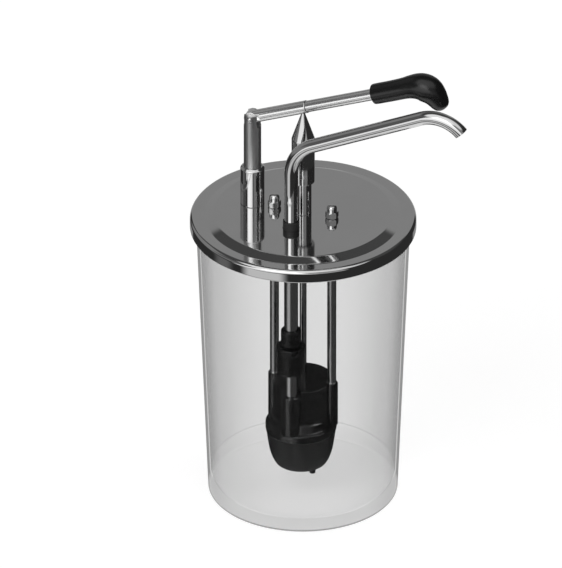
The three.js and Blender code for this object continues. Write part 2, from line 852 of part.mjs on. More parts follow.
function makePistonRod() {
  const shoulder = pistonTop + seatGap;
  const top = capCeiling + rodSocketDepth - seatGap;
  return turned([
    [0, shoulder - pistonStudLength],
    [pistonStudRadius, shoulder - pistonStudLength],
    [pistonStudRadius, shoulder],
    [pistonRodRadius, shoulder],
    [pistonRodRadius, top],
    [0, top],
  ], smallSides);
}

// Assembly
const dispenser = new THREE.Group();
const onLid = new THREE.Group();
const post = new THREE.Group();
const lever = new THREE.Group();
const outlet = new THREE.Group();
onLid.position.z = panelZ;
post.position.x = -pivotReach;
lever.position.set(-pivotReach, 0, pivotHeight);
lever.rotation.y = -radians(leverRise);
outlet.position.y = -spoutOffset;
onLid.add(post, lever, outlet);
dispenser.add(onLid);

function add(parent, name, geometry, material, x = 0) {
  const mesh = new THREE.Mesh(geometry, material);
  mesh.name = name;
  mesh.position.x = x;
  parent.add(mesh);
}

add(dispenser, 'container', makeContainer(), clearPlastic);
add(onLid, 'lid', makeLid(), polishedSteel);

add(post, 'post_sleeve', makePostSleeve(), satinSteel);
add(post, 'pivot_post', makePivotPost(), satinSteel);
const pinLength = 2 * (postRadius + pinStandOut);
add(post, 'pivot_pin', rodAlongY(pinRadius, pinLength).translate(0, 0, pivotHeight), satinSteel);
const washerBottom = underLid - washerThickness;
const nutTop = washerBottom - seatGap;
const postBore = postStudRadius + runGap;
add(post, 'post_washer', ring(postWasherRadius, postBore, washerBottom, underLid), satinSteel);
add(post, 'post_nut', hexNut(postNutFlats, postBore, nutTop - postNutHeight, nutTop), satinSteel);

const guideBore = guideStudRadius + runGap;
add(onLid, 'guide_tube', makeGuideTube(), satinSteel);
add(onLid, 'guide_washer', ring(guideWasherRadius, guideBore, washerBottom, underLid), satinSteel);
add(onLid, 'guide_nut', hexNut(guideNutFlats, guideBore, nutTop - guideNutHeight, nutTop), satinSteel);
add(onLid, 'guide_bush', makeGuideBush(), whitePlastic);
add(onLid, 'return_spring', makeReturnSpring(), satinSteel);

add(onLid, 'push_cap', makePushCap(), polishedSteel);
add(onLid, 'piston_rod', makePistonRod(), satinSteel);
add(onLid, 'piston', makePiston(), whitePlastic);
add(onLid, 'piston_seal_lower', makePistonSeal(1, 0), blackRubber);
add(onLid, 'piston_seal_upper', makePistonSeal(2, 1), blackRubber);
const pistonNutTop = pistonBottom - seatGap;
const pistonNutBottom = pistonNutTop - pistonNutHeight;
add(onLid, 'piston_nut', hexNut(pistonNutFlats, pistonStudRadius + runGap, pistonNutBottom, pistonNutTop), satinSteel);

add(lever, 'lever_socket', makeLeverSocket(), satinSteel);
add(lever, 'lever_rod', makeLeverRod(), satinSteel);
add(lever, 'lever_grip', makeLeverGrip(), blackPlastic);

add(outlet, 'spout_tube', tube(spoutPoints(), spoutRadius, spoutRadius - spoutWall, tubeSides), polishedSteel);
add(outlet, 'spout_grommet', makeGrommet(), blackRubber);
add(outlet, 'coupling_gland', makeCouplingGland(), blackRubber);
add(outlet, 'coupling_body', makeCouplingBody(), blackPlastic);
const sealCircle = (spoutRadius + couplingBore) / 2;
const sealHeight = couplingTop - glandShankLength - couplingSealRadius;
add(outlet, 'coupling_seal', sealRing(sealCircle, couplingSealRadius, sealHeight), blackRubber);
add(outlet, 'outlet_pipe', ring(pipeRadius, pipeRadius - pipeWall, pipeBottom, pipeTop, middleSides), satinSteel);
add(outlet, 'outlet_seal', sealRing(outletSealCircle, outletSealRadius, outletSealZ), blackRubber);
add(outlet, 'outlet_cage', makeCage(pipeRadius, outletCageBore, outletShoulder + seatGap), whitePlastic);
add(outlet, 'outlet_ball', makeBall(outletBallRadius, outletSeatRadius, outletSeat), satinSteel);

for (const [side, x] of [['left', -tieRodReach], ['right', tieRodReach]]) {
  add(onLid, `tie_rod_${side}`, makeTieRod(), satinSteel, x);
  add(onLid, `dome_nut_${side}`, makeDomeNut(), polishedSteel, x);
}

add(onLid, 'pump_housing', makePumpHousing(), blackPlastic);
add(onLid, 'pump_cover', makePumpCover(), blackPlastic);
add(onLid, 'pump_base', makePumpBase(), blackPlastic);
const gasketTop = spigotEnd - seatGap;
add(onLid, 'base_seal', ring(spigotRadius, boreRadius, gasketTop - gasketThickness, gasketTop), blackRubber);
add(onLid, 'inlet_cage', makeCage(inletCageRadius, inletCageBore, inletShoulder + seatGap), whitePlastic);
add(onLid, 'inlet_ball', makeBall(inletBallRadius, inletSeatRadius, inletSeat), satinSteel);

export default dispenser;
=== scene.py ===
import json
import math

import bmesh
import bpy
from mathutils import Matrix, Vector


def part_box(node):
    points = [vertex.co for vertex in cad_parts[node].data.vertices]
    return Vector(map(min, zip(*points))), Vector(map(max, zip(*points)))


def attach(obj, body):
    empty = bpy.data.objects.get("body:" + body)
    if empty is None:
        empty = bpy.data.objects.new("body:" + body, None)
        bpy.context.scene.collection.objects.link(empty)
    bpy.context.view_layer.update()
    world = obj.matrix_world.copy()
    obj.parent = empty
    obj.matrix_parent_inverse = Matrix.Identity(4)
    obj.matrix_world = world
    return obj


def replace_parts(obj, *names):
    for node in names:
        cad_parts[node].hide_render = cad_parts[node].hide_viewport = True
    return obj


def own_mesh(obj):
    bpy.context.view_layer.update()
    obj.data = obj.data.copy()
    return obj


# A sauce dispenser: a clear container with a steel lid that carries a lever, a bent spout and a hanging pump.
# Metres, +Z up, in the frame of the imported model. Places come from the model's own nodes.
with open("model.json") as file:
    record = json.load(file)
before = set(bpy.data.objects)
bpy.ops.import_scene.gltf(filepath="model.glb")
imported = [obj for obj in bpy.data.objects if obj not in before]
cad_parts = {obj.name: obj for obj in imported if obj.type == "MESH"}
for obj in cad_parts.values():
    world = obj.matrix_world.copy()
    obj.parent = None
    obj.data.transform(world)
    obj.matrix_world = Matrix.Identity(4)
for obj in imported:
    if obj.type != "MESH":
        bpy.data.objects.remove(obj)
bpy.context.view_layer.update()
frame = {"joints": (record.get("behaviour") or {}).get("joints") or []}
scene = bpy.context.scene
mm = 0.001


# The camera stands in front, a little to the right, and looks down on the lid through a long lens.
camera_azimuth = math.radians(20.9)
camera_elevation = math.radians(30.28)
camera_distance = 20.0
camera_lens = 1478.5
image_centre_height = 199.2 * mm
image_centre_left = 18.95 * mm
level_toward_camera = Vector((math.sin(camera_azimuth), -math.cos(camera_azimuth), 0))
level_right = Vector((math.cos(camera_azimuth), math.sin(camera_azimuth), 0))
toward_camera = level_toward_camera * math.cos(camera_elevation) + Vector((0, 0, math.sin(camera_elevation)))
image_centre = Vector((0, 0, image_centre_height)) - level_right * image_centre_left

lens = bpy.data.cameras.new("camera")
lens.lens = camera_lens
lens.sensor_width = 36
lens.sensor_fit = "AUTO"
lens.clip_start, lens.clip_end = 0.1, 200
camera = bpy.data.objects.new("camera", lens)
camera.location = image_centre + toward_camera * camera_distance
camera.rotation_mode = "QUATERNION"
camera.rotation_quaternion = (-toward_camera).to_track_quat("-Z", "Y")
scene.collection.objects.link(camera)
scene.camera = camera
scene.view_settings.view_transform = "Standard"


# The studio: a white floor and a white surround, a key lamp at the front left and a weaker one at the right.
# The metal mirrors a dark room with soft panels in it: a large bright one at the front left, a weaker one at
# the right, two round ones overhead and dim ones at the sides and behind, as for a studio picture of steel.
class Value:
    """A number in a node tree. Arithmetic on it adds the Math nodes."""

    def __init__(self, nodes, socket):
        self.nodes, self.socket = nodes, socket

    def maths(self, operation, *numbers):
        return self.nodes.add("ShaderNodeMath", {"operation": operation}, dict(enumerate(numbers)))

    def __add__(self, other):
        return self.maths("ADD", self, other)

    def __sub__(self, other):
        return self.maths("SUBTRACT", self, other)

    def __rsub__(self, other):
        return self.maths("SUBTRACT", other, self)

    def __mul__(self, other):
        return self.maths("MULTIPLY", self, other)

    def __gt__(self, other):
        return self.maths("GREATER_THAN", self, other)

    def at_least(self, other):
        return self.maths("MAXIMUM", self, other)

    def fade(self, start, end, low=0.0, high=1.0):
        ends = {"Value": self, "From Min": start, "From Max": end, "To Min": low, "To Max": high}
        return self.nodes.add("ShaderNodeMapRange", {"interpolation_type": "SMOOTHSTEP"}, ends)

    __radd__, __rmul__ = __add__, __mul__


class Nodes:
    """The node tree of a material or of the world."""

    def __init__(self, tree):
        self.tree = tree
        tree.nodes.clear()

    def add(self, kind, settings, sockets, output=0):
        node = self.tree.nodes.new(kind)
        for name, setting in settings.items():
            setattr(node, name, setting)
        for name, value in sockets.items():
            if isinstance(value, Value):
                self.tree.links.new(value.socket, node.inputs[name])
            else:
                node.inputs[name].default_value = value
        return Value(self, node.outputs[output] if node.outputs else None)


def grey(shade):
    return (shade, shade, shade, 1)


def light_path(nodes, name):
    return nodes.add("ShaderNodeLightPath", {}, {}, name)


def seen(nodes):
    """1 for what is seen straight, in a mirror or through a clear wall, and 0 for what only gives light."""
    straight, reflected = light_path(nodes, "Is Camera Ray"), light_path(nodes, "Is Glossy Ray")
    return straight.at_least(reflected).at_least(light_path(nodes, "Is Transmission Ray"))


room = bpy.data.worlds.new("room")
room.use_nodes = True
scene.world = room
nodes = Nodes(room.node_tree)
direction = nodes.add("ShaderNodeTexCoord", {}, {}, "Generated")


def along(axis):
    return nodes.add("ShaderNodeVectorMath", {"operation": "DOT_PRODUCT"}, {0: direction, 1: axis}, "Value")


side, front, height = along(level_right), along(level_toward_camera), along(Vector((0, 0, 1)))
turn_from_camera = side.maths("ARCTAN2", side, front) * math.degrees(1)
rise = height.maths("ARCSINE", height) * math.degrees(1)


def toward(turn_degrees, rise_degrees):
    """The direction so many degrees to the right of the camera, and above level."""
    turn, up = math.radians(turn_degrees), math.radians(rise_degrees)
    level = level_toward_camera * math.cos(turn) + level_right * math.sin(turn)
    return level * math.cos(up) + Vector((0, 0, math.sin(up)))


def soft_box(left, right, low, high, edge, side_lean=0.0, low_lean=0.0):
    """The share of a soft-edged panel, in degrees to the right of the camera and above level. A lean draws
    its sides in for each degree up, or lifts its low edge for each degree to the right."""
    past_left, past_right = turn_from_camera - rise * side_lean, turn_from_camera + rise * side_lean
    across = past_left.fade(left - edge, left + edge) * past_right.fade(right - edge, right + edge, 1, 0)
    past_low = rise - turn_from_camera * low_lean
    return across * past_low.fade(low - edge, low + edge) * rise.fade(high - edge, high + edge, 1, 0)


def round_box(turn_degrees, rise_degrees, reach, edge):
    """The share of a round soft-edged panel in a direction."""
    return along(toward(turn_degrees, rise_degrees)).fade(
        math.cos(math.radians(reach + edge)), math.cos(math.radians(reach - edge)))


dark_room = 0.04
inside = light_path(nodes, "Transmission Depth") > 0.5
# The large panel at the front left, the two round ones overhead and the weaker panel at the right
mirrored = dark_room + soft_box(-62, 15, 0, 50, 4, 0.5, 0.28) * rise.fade(5, 28, 1.35, 1.95)
mirrored += round_box(-31, 62, 31, 4).at_least(round_box(45, 66, 26, 4) * 0.8) * 1.3
mirrored += soft_box(9, 42, -2, 42, 4) * rise.fade(8, 25, 0.52, 0.33)
# The dim panels at the left and behind. Those behind are dimmer still for what stands in the container
mirrored += soft_box(-142, -98, -4, 44, 5) * 0.27
mirrored += soft_box(-98, -64, -4, 44, 5) * rise.fade(8, 20, 0.27, 0.11)
for behind in (soft_box(151, 240, -34, 37, 2), soft_box(-240, -153, -34, 37, 2)):
    mirrored += behind * (0.33 - inside * 0.27)
for behind in (soft_box(150, 240, -18, -6, 2), soft_box(-240, -150, -18, -6, 2)):
    mirrored += behind * (0.2 - inside * 0.16)
mirrored += soft_box(-300, -100, 37, 76, 5) * 0.05 + soft_box(100, 300, 37, 76, 5) * 0.05
# The floor's light from below, and what the pieces in the container mirror of it. They mirror less of it all
mirrored += soft_box(-62, -20, -36, -20, 6) * 0.85 + soft_box(-100, -80, -36, -20, 6) * 0.15
mirrored += rise.fade(-56, -41, 1, 0) * 1.15
mirrored += inside * (soft_box(-75, -8, -36, -20, 8) * 0.5 + soft_box(-8, 120, -36, -20, 8) * 0.12)
mirrored *= 0.8 - inside * 0.36
not_bounced = 1 - (light_path(nodes, "Diffuse Depth") > 0.5)
in_a_mirror = (light_path(nodes, "Glossy Depth") > 0.5) * not_bounced
room_light = 0.5
strength = room_light + seen(nodes) * not_bounced * (1 - room_light)
strength = strength + in_a_mirror * (mirrored - strength)
surround = nodes.add("ShaderNodeBackground", {}, {"Color": grey(1), "Strength": strength})
nodes.add("ShaderNodeOutputWorld", {}, {"Surface": surround})

floor_reach, floor_glow = 8.0, 1.17
shape = bmesh.new()
bmesh.ops.create_circle(shape, cap_ends=True, radius=floor_reach, segments=64)
mesh = bpy.data.meshes.new("floor")
shape.to_mesh(mesh)
shape.free()
floor = bpy.data.objects.new("floor", mesh)
scene.collection.objects.link(floor)
paper = bpy.data.materials.new("floor_paper")
paper.use_nodes = True
nodes = Nodes(paper.node_tree)
place = nodes.add("ShaderNodeTexCoord", {}, {}, "Object")
distance = nodes.add("ShaderNodeVectorMath", {"operation": "LENGTH"}, {0: place}, "Value")
own_light = distance.fade(0.4, 2.0, 0.7, 1.0) * seen(nodes)
lit = nodes.add("ShaderNodeBsdfDiffuse", {}, {"Color": grey(0.92)})
glow = nodes.add("ShaderNodeEmission", {}, {"Color": grey(1), "Strength": floor_glow})
white = nodes.add("ShaderNodeMixShader", {}, {0: own_light, 1: lit, 2: glow})
away = nodes.add("ShaderNodeBsdfTransparent", {}, {})
mirror_sees = light_path(nodes, "Glossy Depth") > 0.5
surface = nodes.add("ShaderNodeMixShader", {}, {0: mirror_sees, 1: white, 2: away})
nodes.add("ShaderNodeOutputMaterial", {}, {"Surface": surface})
mesh.materials.append(paper)


lamp_aim = Vector((0, 0, 0.25))


def lamp(name, turn_degrees, rise_degrees, distance, size, power):
    light = bpy.data.lights.new(name, "AREA")
    light.shape, light.size, light.energy = "DISK", size, power
    back = toward(turn_degrees, rise_degrees)
    holder = bpy.data.objects.new(name, light)
    holder.location = lamp_aim + back * distance
    holder.rotation_mode = "QUATERNION"
    holder.rotation_quaternion = (-back).to_track_quat("-Z", "Y")
    holder.visible_glossy = False
    scene.collection.objects.link(holder)


lamp("key_lamp", -40, 48, 1.6, 1.0, 9)
lamp("fill_lamp", 70, 40, 1.8, 1.0, 4)


# The container: one clear moulded cylinder, slightly wider at the top, with a thick flat floor, a rounded
# inner corner and an out-turned lip that the lid covers. Its walls tint what is behind them a light grey, and
# carry painted shade at their slanted edges and in the foot.
def revolve(shape, steps):
    """Turns the drawn line once about Z to a closed surface."""
    line = shape.verts[:] + shape.edges[:]
    bmesh.ops.spin(shape, geom=line, cent=(0, 0, 0), axis=(0, 0, 1), angle=2 * math.pi, steps=steps,
                   use_merge=True)
    bmesh.ops.remove_doubles(shape, verts=shape.verts[:], dist=0.001 * mm)
    bmesh.ops.recalc_face_normals(shape, faces=shape.faces[:])


def turn(outline, steps=96):
    """A piece turned about Z from corners (radius, height), or (radius, height, rounding). A ring beside each
    rounding keeps the shading of the straight run next to it flat."""
    shape = bmesh.new()
    corners = [(Vector((corner[0], 0, corner[1])), corner[2] if len(corner) > 2 else 0) for corner in outline]
    closed = outline[0][0] > 0 or outline[-1][0] > 0
    support = 0.4 * mm
    points = []
    for number, (place, rounding) in enumerate(corners):
        points.append((place, rounding))
        after, next_rounding = corners[(number + 1) % len(corners)]
        run = after - place
        if (closed or number < len(corners) - 1) and run.length > rounding + next_rounding + 3 * support:
            if rounding:
                points.append((place + run.normalized() * (rounding + support), 0))
            if next_rounding:
                points.append((after - run.normalized() * (next_rounding + support), 0))
    verts = [shape.verts.new(place) for place, rounding in points]
    for vert, after in zip(verts, verts[1:] + verts[:closed]):
        shape.edges.new((vert, after))
    for vert, (place, rounding) in zip(verts, points):
        if rounding:
            bmesh.ops.bevel(shape, geom=[vert], offset=rounding, segments=10 if rounding > 2 * mm else 4,
                            profile=0.5, affect="VERTICES", material=-1)
    revolve(shape, steps)
    return shape


def piece(shape, name, material, sharp=35):
    """A mesh object of a finished shape, smooth but for its sharp edges."""
    mesh = bpy.data.meshes.new(name)
    shape.to_mesh(mesh)
    shape.free()
    mesh.materials.append(material)
    mesh.shade_smooth()
    mesh.set_sharp_from_angle(angle=math.radians(sharp))
    made = bpy.data.objects.new(name, mesh)
    scene.collection.objects.link(made)
    return made


def stand_in(made, node, body="lid_assembly"):
    """Puts a piece in the place of the model's node, on the body that it moves with."""
    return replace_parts(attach(made, body), node)


def finish(name, maker):
    """A material. Its maker adds the nodes and returns the Principled shader's sockets."""
    material = bpy.data.materials.new(name)
    material.use_nodes = True
    nodes = Nodes(material.node_tree)
    shader = nodes.add("ShaderNodeBsdfPrincipled", {}, maker(nodes), "BSDF")
    nodes.add("ShaderNodeOutputMaterial", {}, {"Surface": shader})
    return material


def noise(nodes, scale, detail=3, stretch=(1, 1, 1)):
    """Noise from 0 to 1 on the piece's own coordinates, with so many grains to the metre."""
    place = nodes.add("ShaderNodeTexCoord", {}, {}, "Object")
    stretched = nodes.add("ShaderNodeVectorMath", {"operation": "MULTIPLY"}, {0: place, 1: stretch})
    return nodes.add("ShaderNodeTexNoise", {}, {"Vector": stretched, "Scale": scale, "Detail": detail}, 0)


def shades(nodes, factor, low, high):
    return nodes.add("ShaderNodeMix", {"data_type": "RGBA"}, {0: factor, 6: low, 7: high}, 2)


def bump(nodes, height, depth):
    return nodes.add("ShaderNodeBump", {}, {"Height": height, "Strength": 1.0, "Distance": depth})


container_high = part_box("container")[1]
container_top, container_lip = container_high.z, container_high.x
container_wall, container_floor, floor_fillet = 3 * mm, 8 * mm, 10 * mm
foot_radius = 81.6 * mm
lip_height, lip_reach = 3.5 * mm, 2.2 * mm
mouth_radius = container_lip - lip_reach
container_flare = (mouth_radius - foot_radius) / container_top


def clear_wall(nodes):
    """A clear wall tints what is behind it a light grey. At a slant it is darker, painted shade for the
    wall's dark edges. A look through the solid foot crosses fewer walls; painted shade darkens the foot's
    front, a thin line at the inner floor's fillet and the foot's bottom edge."""
    facing = nodes.add("ShaderNodeLayerWeight", {}, {"Blend": 0.5}, "Facing")
    facing_ahead = 1 - math.cos(camera_elevation)
    place = nodes.add("ShaderNodeTexCoord", {}, {}, "Object")
    height = nodes.add("ShaderNodeSeparateXYZ", {}, {"Vector": place}, "Z")
    level_place = nodes.add("ShaderNodeVectorMath", {"operation": "MULTIPLY"}, {0: place, 1: (1, 1, 0)})
    from_axis = nodes.add("ShaderNodeVectorMath", {"operation": "LENGTH"}, {0: level_place}, "Value")
    outside = from_axis - height * container_flare > foot_radius - container_wall / 2
    inner = 1 - outside
    front_face = 1 - nodes.add("ShaderNodeNewGeometry", {}, {}, "Backfacing")
    haze = noise(nodes, 18, 4, (1, 1, 0.35))
    wall = shades(nodes, haze, grey(0.80), grey(0.87))
    # Painted shade: the wall darkens where it is seen at a slant, in two steps, and most at its outer edge
    for slight, strong, slant_shade in ((0.12, 0.60, 0.71), (0.52, 0.80, 0.57)):
        wall = shades(nodes, facing.fade(slight, strong), wall, grey(slant_shade))
    wall = shades(nodes, outside * facing.fade(0.795, 0.82), wall, grey(0.29))
    # The inner floor and its fillet keep a light tint, without the slant's painted shade
    wall = shades(nodes, inner * height.fade(14 * mm, 17 * mm, 1, 0), wall, grey(0.78))

    # A thin dark line of painted shade along the top of the inner floor's fillet
    fillet_top, line_width = container_floor + floor_fillet, 1.2 * mm
    fillet_shade_line = inner * front_face * height.fade(fillet_top - line_width, fillet_top)
    fillet_shade_line *= height.fade(fillet_top, fillet_top + line_width, 1, 0)
    wall = shades(nodes, fillet_shade_line, wall, grey(0.62))

    # Painted shade on the front of the solid foot, darker towards the sides
    solid_top, solid_blur, solid_rise = 14.3 * mm, 0.4 * mm, 26 * mm
    slant = (facing - facing_ahead).at_least(0)
    above_foot = height - slant * slant * solid_rise
    foot_front_shade = outside * front_face * above_foot.fade(solid_top - solid_blur, solid_top + solid_blur, 1, 0)
    foot_front_shade_tone = shades(nodes, facing.fade(0.30, 0.70), grey(0.42), grey(0.30))
    wall = shades(nodes, foot_front_shade, wall, foot_front_shade_tone)
    # A dark line of painted shade along the foot's bottom edge
    foot_edge_shade = outside * front_face * height.fade(1.3 * mm, 3 * mm, 1, 0)
    return {
        "Base Color": shades(nodes, foot_edge_shade, wall, grey(0.09)), "Metallic": 0.0,
        "Roughness": haze.fade(0.45, 0.75, 0.0, 0.02), "IOR": 1.0, "Transmission Weight": 1.0,
        "Coat Weight": facing.fade(0.4, 0.7, 0.08, 0.0), "Coat Roughness": 0.03, "Coat IOR": 1.49,
    }


def outer_radius(height):
    return foot_radius + container_flare * height


lip_bottom = container_top - lip_height
shape = turn([
    (0, 0.8 * mm),
    (foot_radius - 2.6 * mm, 0.5 * mm),
    (foot_radius - 2.1 * mm, 0),
    (foot_radius, 0, 1.6 * mm),
    (outer_radius(lip_bottom - lip_reach), lip_bottom - lip_reach, 0.8 * mm),
    (container_lip, lip_bottom, 0.5 * mm),
    (container_lip, container_top, 1.0 * mm),
    (mouth_radius - container_wall, container_top, 1.0 * mm),
    (outer_radius(container_floor) - container_wall, container_floor, floor_fillet),
    (0, container_floor),
], 160)
clear = piece(shape, "clear_container", finish("clear_plastic", clear_wall), 60)
clear.visible_shadow = False
stand_in(clear, "container", "container")


# The lid: a pressed sheet of polished stainless steel. Its middle stands up as a flat panel with a soft slope
# round it, its edge is rounded over, and its skirt ends in a hem that hides the container's lip.
def polished(nodes):
    wear = noise(nodes, 35, 4)
    rub = noise(nodes, 900, 3, (1, 1, 0.12))
    return {
        "Base Color": shades(nodes, wear, grey(0.64), grey(0.69)), "Metallic": 1.0,
        "Roughness": 0.055 + wear * 0.035 + rub.fade(0.55, 0.8, 0, 0.03),
        "Normal": bump(nodes, rub, 0.0008 * mm),
    }


def cut(body, *tools, operation="DIFFERENCE"):
    """Cuts tools out of a piece, or joins them to it, or keeps only what both hold."""
    for tool in tools:
        change = body.modifiers.new("cut", "BOOLEAN")
        change.operation, change.solver, change.object = operation, "EXACT", tool
    bpy.context.view_layer.update()
    cut_mesh = bpy.data.meshes.new_from_object(body.evaluated_get(bpy.context.evaluated_depsgraph_get()))
    body.modifiers.clear()
    cut_mesh.materials.clear()
    cut_mesh.materials.append(body.data.materials[0])
    body.data = cut_mesh
    cut_mesh.shade_smooth()
    cut_mesh.set_sharp_from_angle(angle=math.radians(35))
    for tool in tools:
        bpy.data.objects.remove(tool)
    return body


def middle(node):
    low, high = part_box(node)
    return (low + high) / 2


def move(shape, x, y):
    bmesh.ops.translate(shape, verts=shape.verts[:], vec=(x, y, 0))
    return shape


def rod(radius, bottom, top, x=0, y=0):
    return move(turn([(0, bottom), (radius, bottom), (radius, top), (0, top)], 48), x, y)


def drill(radius, bottom, top, x=0, y=0):
    return piece(rod(radius, bottom, top, x, y), "drill", polished_steel)


polished_steel = finish("polished_steel", polished)
lid_low, lid_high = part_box("lid")
panel = lid_high.z
lid_radius = lid_high.x
sheet = 1.2 * mm
panel_rise, panel_radius, slope_run = 3 * mm, 76.2 * mm, 8.6 * mm
edge_rounding = 3.5 * mm
hem_height = 3 * mm
rim_top = panel - panel_rise
slope_ease = 0.7 * mm
shape = turn([
    (0, panel - sheet),
    (panel_radius, panel - sheet, slope_ease),
    (panel_radius + slope_run, rim_top - sheet, slope_ease),
    (lid_radius - sheet, rim_top - sheet, edge_rounding - sheet),
    (lid_radius - sheet, lid_low.z + hem_height),
    (lid_radius - 2 * sheet, lid_low.z + hem_height, 0.3 * mm),
    (lid_radius - 2 * sheet, lid_low.z, 0.5 * mm),
    (lid_radius, lid_low.z, 0.9 * mm),
    (lid_radius, rim_top, edge_rounding),
    (panel_radius + slope_run, rim_top, slope_ease),
    (panel_radius, panel, slope_ease),
    (0, panel),
], 192)
pressed_lid = piece(shape, "pressed_lid", polished_steel, 50)
post_x, riser_y, tie_x = middle("pivot_post").x, middle("spout_grommet").y, middle("tie_rod_right").x
through = (panel - 3 * sheet, panel + sheet)
run_gap, seat_gap = 0.3 * mm, 0.3 * mm
post_stud, guide_stud, tie_stud, spout_neck = 5 * mm, 6 * mm, 3 * mm, 7.1 * mm
cut(pressed_lid, drill(post_stud + run_gap, *through, post_x), drill(guide_stud + run_gap, *through),
    drill(spout_neck + run_gap, *through, 0, riser_y), drill(tie_stud + run_gap, *through, -tie_x),
    drill(tie_stud + run_gap, *through, tie_x))
stand_in(pressed_lid, "lid")


# The pivot post: a steel bar whose top is milled to a fork for the lever's eye, with a pin across it. A wider
# sleeve stands round its foot, and its stud is held by a washer and a nut under the lid.
def satin(nodes, dullness=0.15, shade=0.61):
    wear = noise(nodes, 30, 4)
    grain = noise(nodes, 2600, 2)
    return {
        "Base Color": shades(nodes, wear, grey(shade), grey(shade + 0.06)), "Metallic": 1.0,
        "Roughness": dullness + wear * 0.04 + grain * 0.03, "Normal": bump(nodes, grain, 0.0003 * mm),
    }


def block(x0, x1, y0, y1, z0, z1):
    shape = bmesh.new()
    size, middle = Vector((x1 - x0, y1 - y0, z1 - z0)), Vector((x0 + x1, y0 + y1, z0 + z1)) / 2
    bmesh.ops.create_cube(shape, size=1, matrix=Matrix.Translation(middle) @ Matrix.Diagonal(size.to_4d()))
    return piece(shape, "block", satin_steel)


def pin_along_y(radius, length, rounding, x, z, steps=40):
    shape = turn([(0, -length / 2), (radius, -length / 2, rounding), (radius, length / 2, rounding),
                  (0, length / 2)], steps)
    bmesh.ops.transform(shape, matrix=Matrix.Translation((x, 0, z)) @ Matrix.Rotation(math.pi / 2, 4, "X"),
                        verts=shape.verts[:])
    return shape


def soften(body, width, angle=40):
    """A small bevel along the sharp edges, as deburring leaves them."""
    edge = body.modifiers.new("edge", "BEVEL")
    edge.width, edge.segments = width, 2
    edge.limit_method, edge.angle_limit = "ANGLE", math.radians(angle)
    edge.use_clamp_overlap = True
    return body


def hexagon(across_flats, bottom, top, chamfer, name, material, bore, x=0):
    """A hexagon nut: a hexagonal bar, chamfered by turning, with its bore."""
    shape = bmesh.new()
    corner = across_flats / 2 / math.cos(math.pi / 6)
    bmesh.ops.create_circle(shape, cap_ends=True, radius=corner, segments=6)
    face = bmesh.ops.extrude_face_region(shape, geom=shape.faces[:])
    raised = [g for g in face["geom"] if isinstance(g, bmesh.types.BMVert)]
    bmesh.ops.translate(shape, verts=raised, vec=(0, 0, top - bottom))
    bmesh.ops.translate(shape, verts=shape.verts[:], vec=(0, 0, bottom))
    bmesh.ops.recalc_face_normals(shape, faces=shape.faces[:])
    nut = piece(shape, name, material, 20)
    flat = across_flats / 2
    blank = turn([(0, bottom), (flat, bottom), (corner, bottom + chamfer), (corner, top - chamfer),
                  (flat, top), (0, top)], 72)
    cut(nut, piece(blank, "blank", material), operation="INTERSECT")
    if bore:
        cut(nut, piece(rod(bore, bottom - mm, top + mm), "bore", material))
    nut.data.transform(Matrix.Translation((x, 0, 0)))
    nut.data.set_sharp_from_angle(angle=math.radians(20))
    return nut


def plain_nut(name, node, across_flats, chamfer, bore, x=0, body="lid_assembly"):
    low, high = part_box(node)
    nut = hexagon(across_flats, low.z, high.z, chamfer, name, satin_steel, bore, x)
    return stand_in(nut, node, body)


def band(inner, outer, low, high, inner_rounding, outer_rounding):
    """The outline of a flat ring or a straight tube."""
    return [(inner, low, inner_rounding), (outer, low, outer_rounding),
            (outer, high, outer_rounding), (inner, high, inner_rounding)]


def washer(name, node, bore, x=0):
    low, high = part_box(node)
    shape = turn(band(bore, (high.x - low.x) / 2, low.z, high.z, 0, 0.25 * mm), 64)
    return stand_in(piece(move(shape, x, 0), name, satin_steel), node)


satin_steel = finish("satin_steel", satin)
ground_steel = finish("ground_steel", lambda nodes: satin(nodes, 0.3))
# A paler copy of the satin steel for the lever: its extra paleness is painted light for the lever's brighter
# look
lever_steel_painted_pale = finish("lever_steel_painted_pale", lambda nodes: satin(nodes, 0.17, 0.86))
post_low, post_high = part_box("pivot_post")
post_radius = (post_high.x - post_low.x) / 2
pivot = Vector((post_x, 0, middle("pivot_pin").z))
shape = turn([
    (0, post_low.z),
    (post_stud, post_low.z, 0.6 * mm),
    (post_stud, panel + seat_gap),
    (post_radius, panel + seat_gap, 0.2 * mm),
    (post_radius, post_high.z, 0.7 * mm),
    (0, post_high.z),
], 96)
forked_post = piece(move(shape, post_x, 0), "forked_post", ground_steel)
slot_width, slot_floor = 9.6 * mm, pivot.z - 7.9 * mm
wide = post_radius + mm
pin_radius, pin_fit = 2.5 * mm, 0.1 * mm
pin_bore = pin_along_y(pin_radius + pin_fit, 3 * post_radius, 0.1 * mm, pivot.x, pivot.z)
cut(forked_post,
    block(post_x - wide, post_x + wide, -slot_width / 2, slot_width / 2, slot_floor, post_high.z + mm),
    piece(pin_bore, "bore", satin_steel))
soften(forked_post, 0.3 * mm)
stand_in(forked_post, "pivot_post")

pin_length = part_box("pivot_pin")[1].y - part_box("pivot_pin")[0].y
shape = pin_along_y(pin_radius, pin_length + mm, 1.5 * mm, pivot.x, pivot.z)
stand_in(piece(shape, "steel_pin", polished_steel), "pivot_pin")

sleeve_low, sleeve_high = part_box("post_sleeve")
sleeve_radius = (sleeve_high.x - sleeve_low.x) / 2
sleeve_top, sleeve_chamfer = sleeve_high.z + 2 * mm, 1.8 * mm
shape = turn([
    (post_radius + run_gap, sleeve_low.z),
    (sleeve_radius, sleeve_low.z, 0.25 * mm),
    (sleeve_radius, sleeve_top - sleeve_chamfer, 0.4 * mm),
    (sleeve_radius - sleeve_chamfer, sleeve_top, 0.3 * mm),
    (post_radius + run_gap, sleeve_top),
], 96)
stand_in(piece(move(shape, post_x, 0), "foot_sleeve", polished_steel), "post_sleeve")

washer("post_plate_washer", "post_washer", post_stud + run_gap, post_x)
plain_nut("post_hexagon_nut", "post_nut", 16 * mm, 1.0 * mm, post_stud + run_gap, post_x)


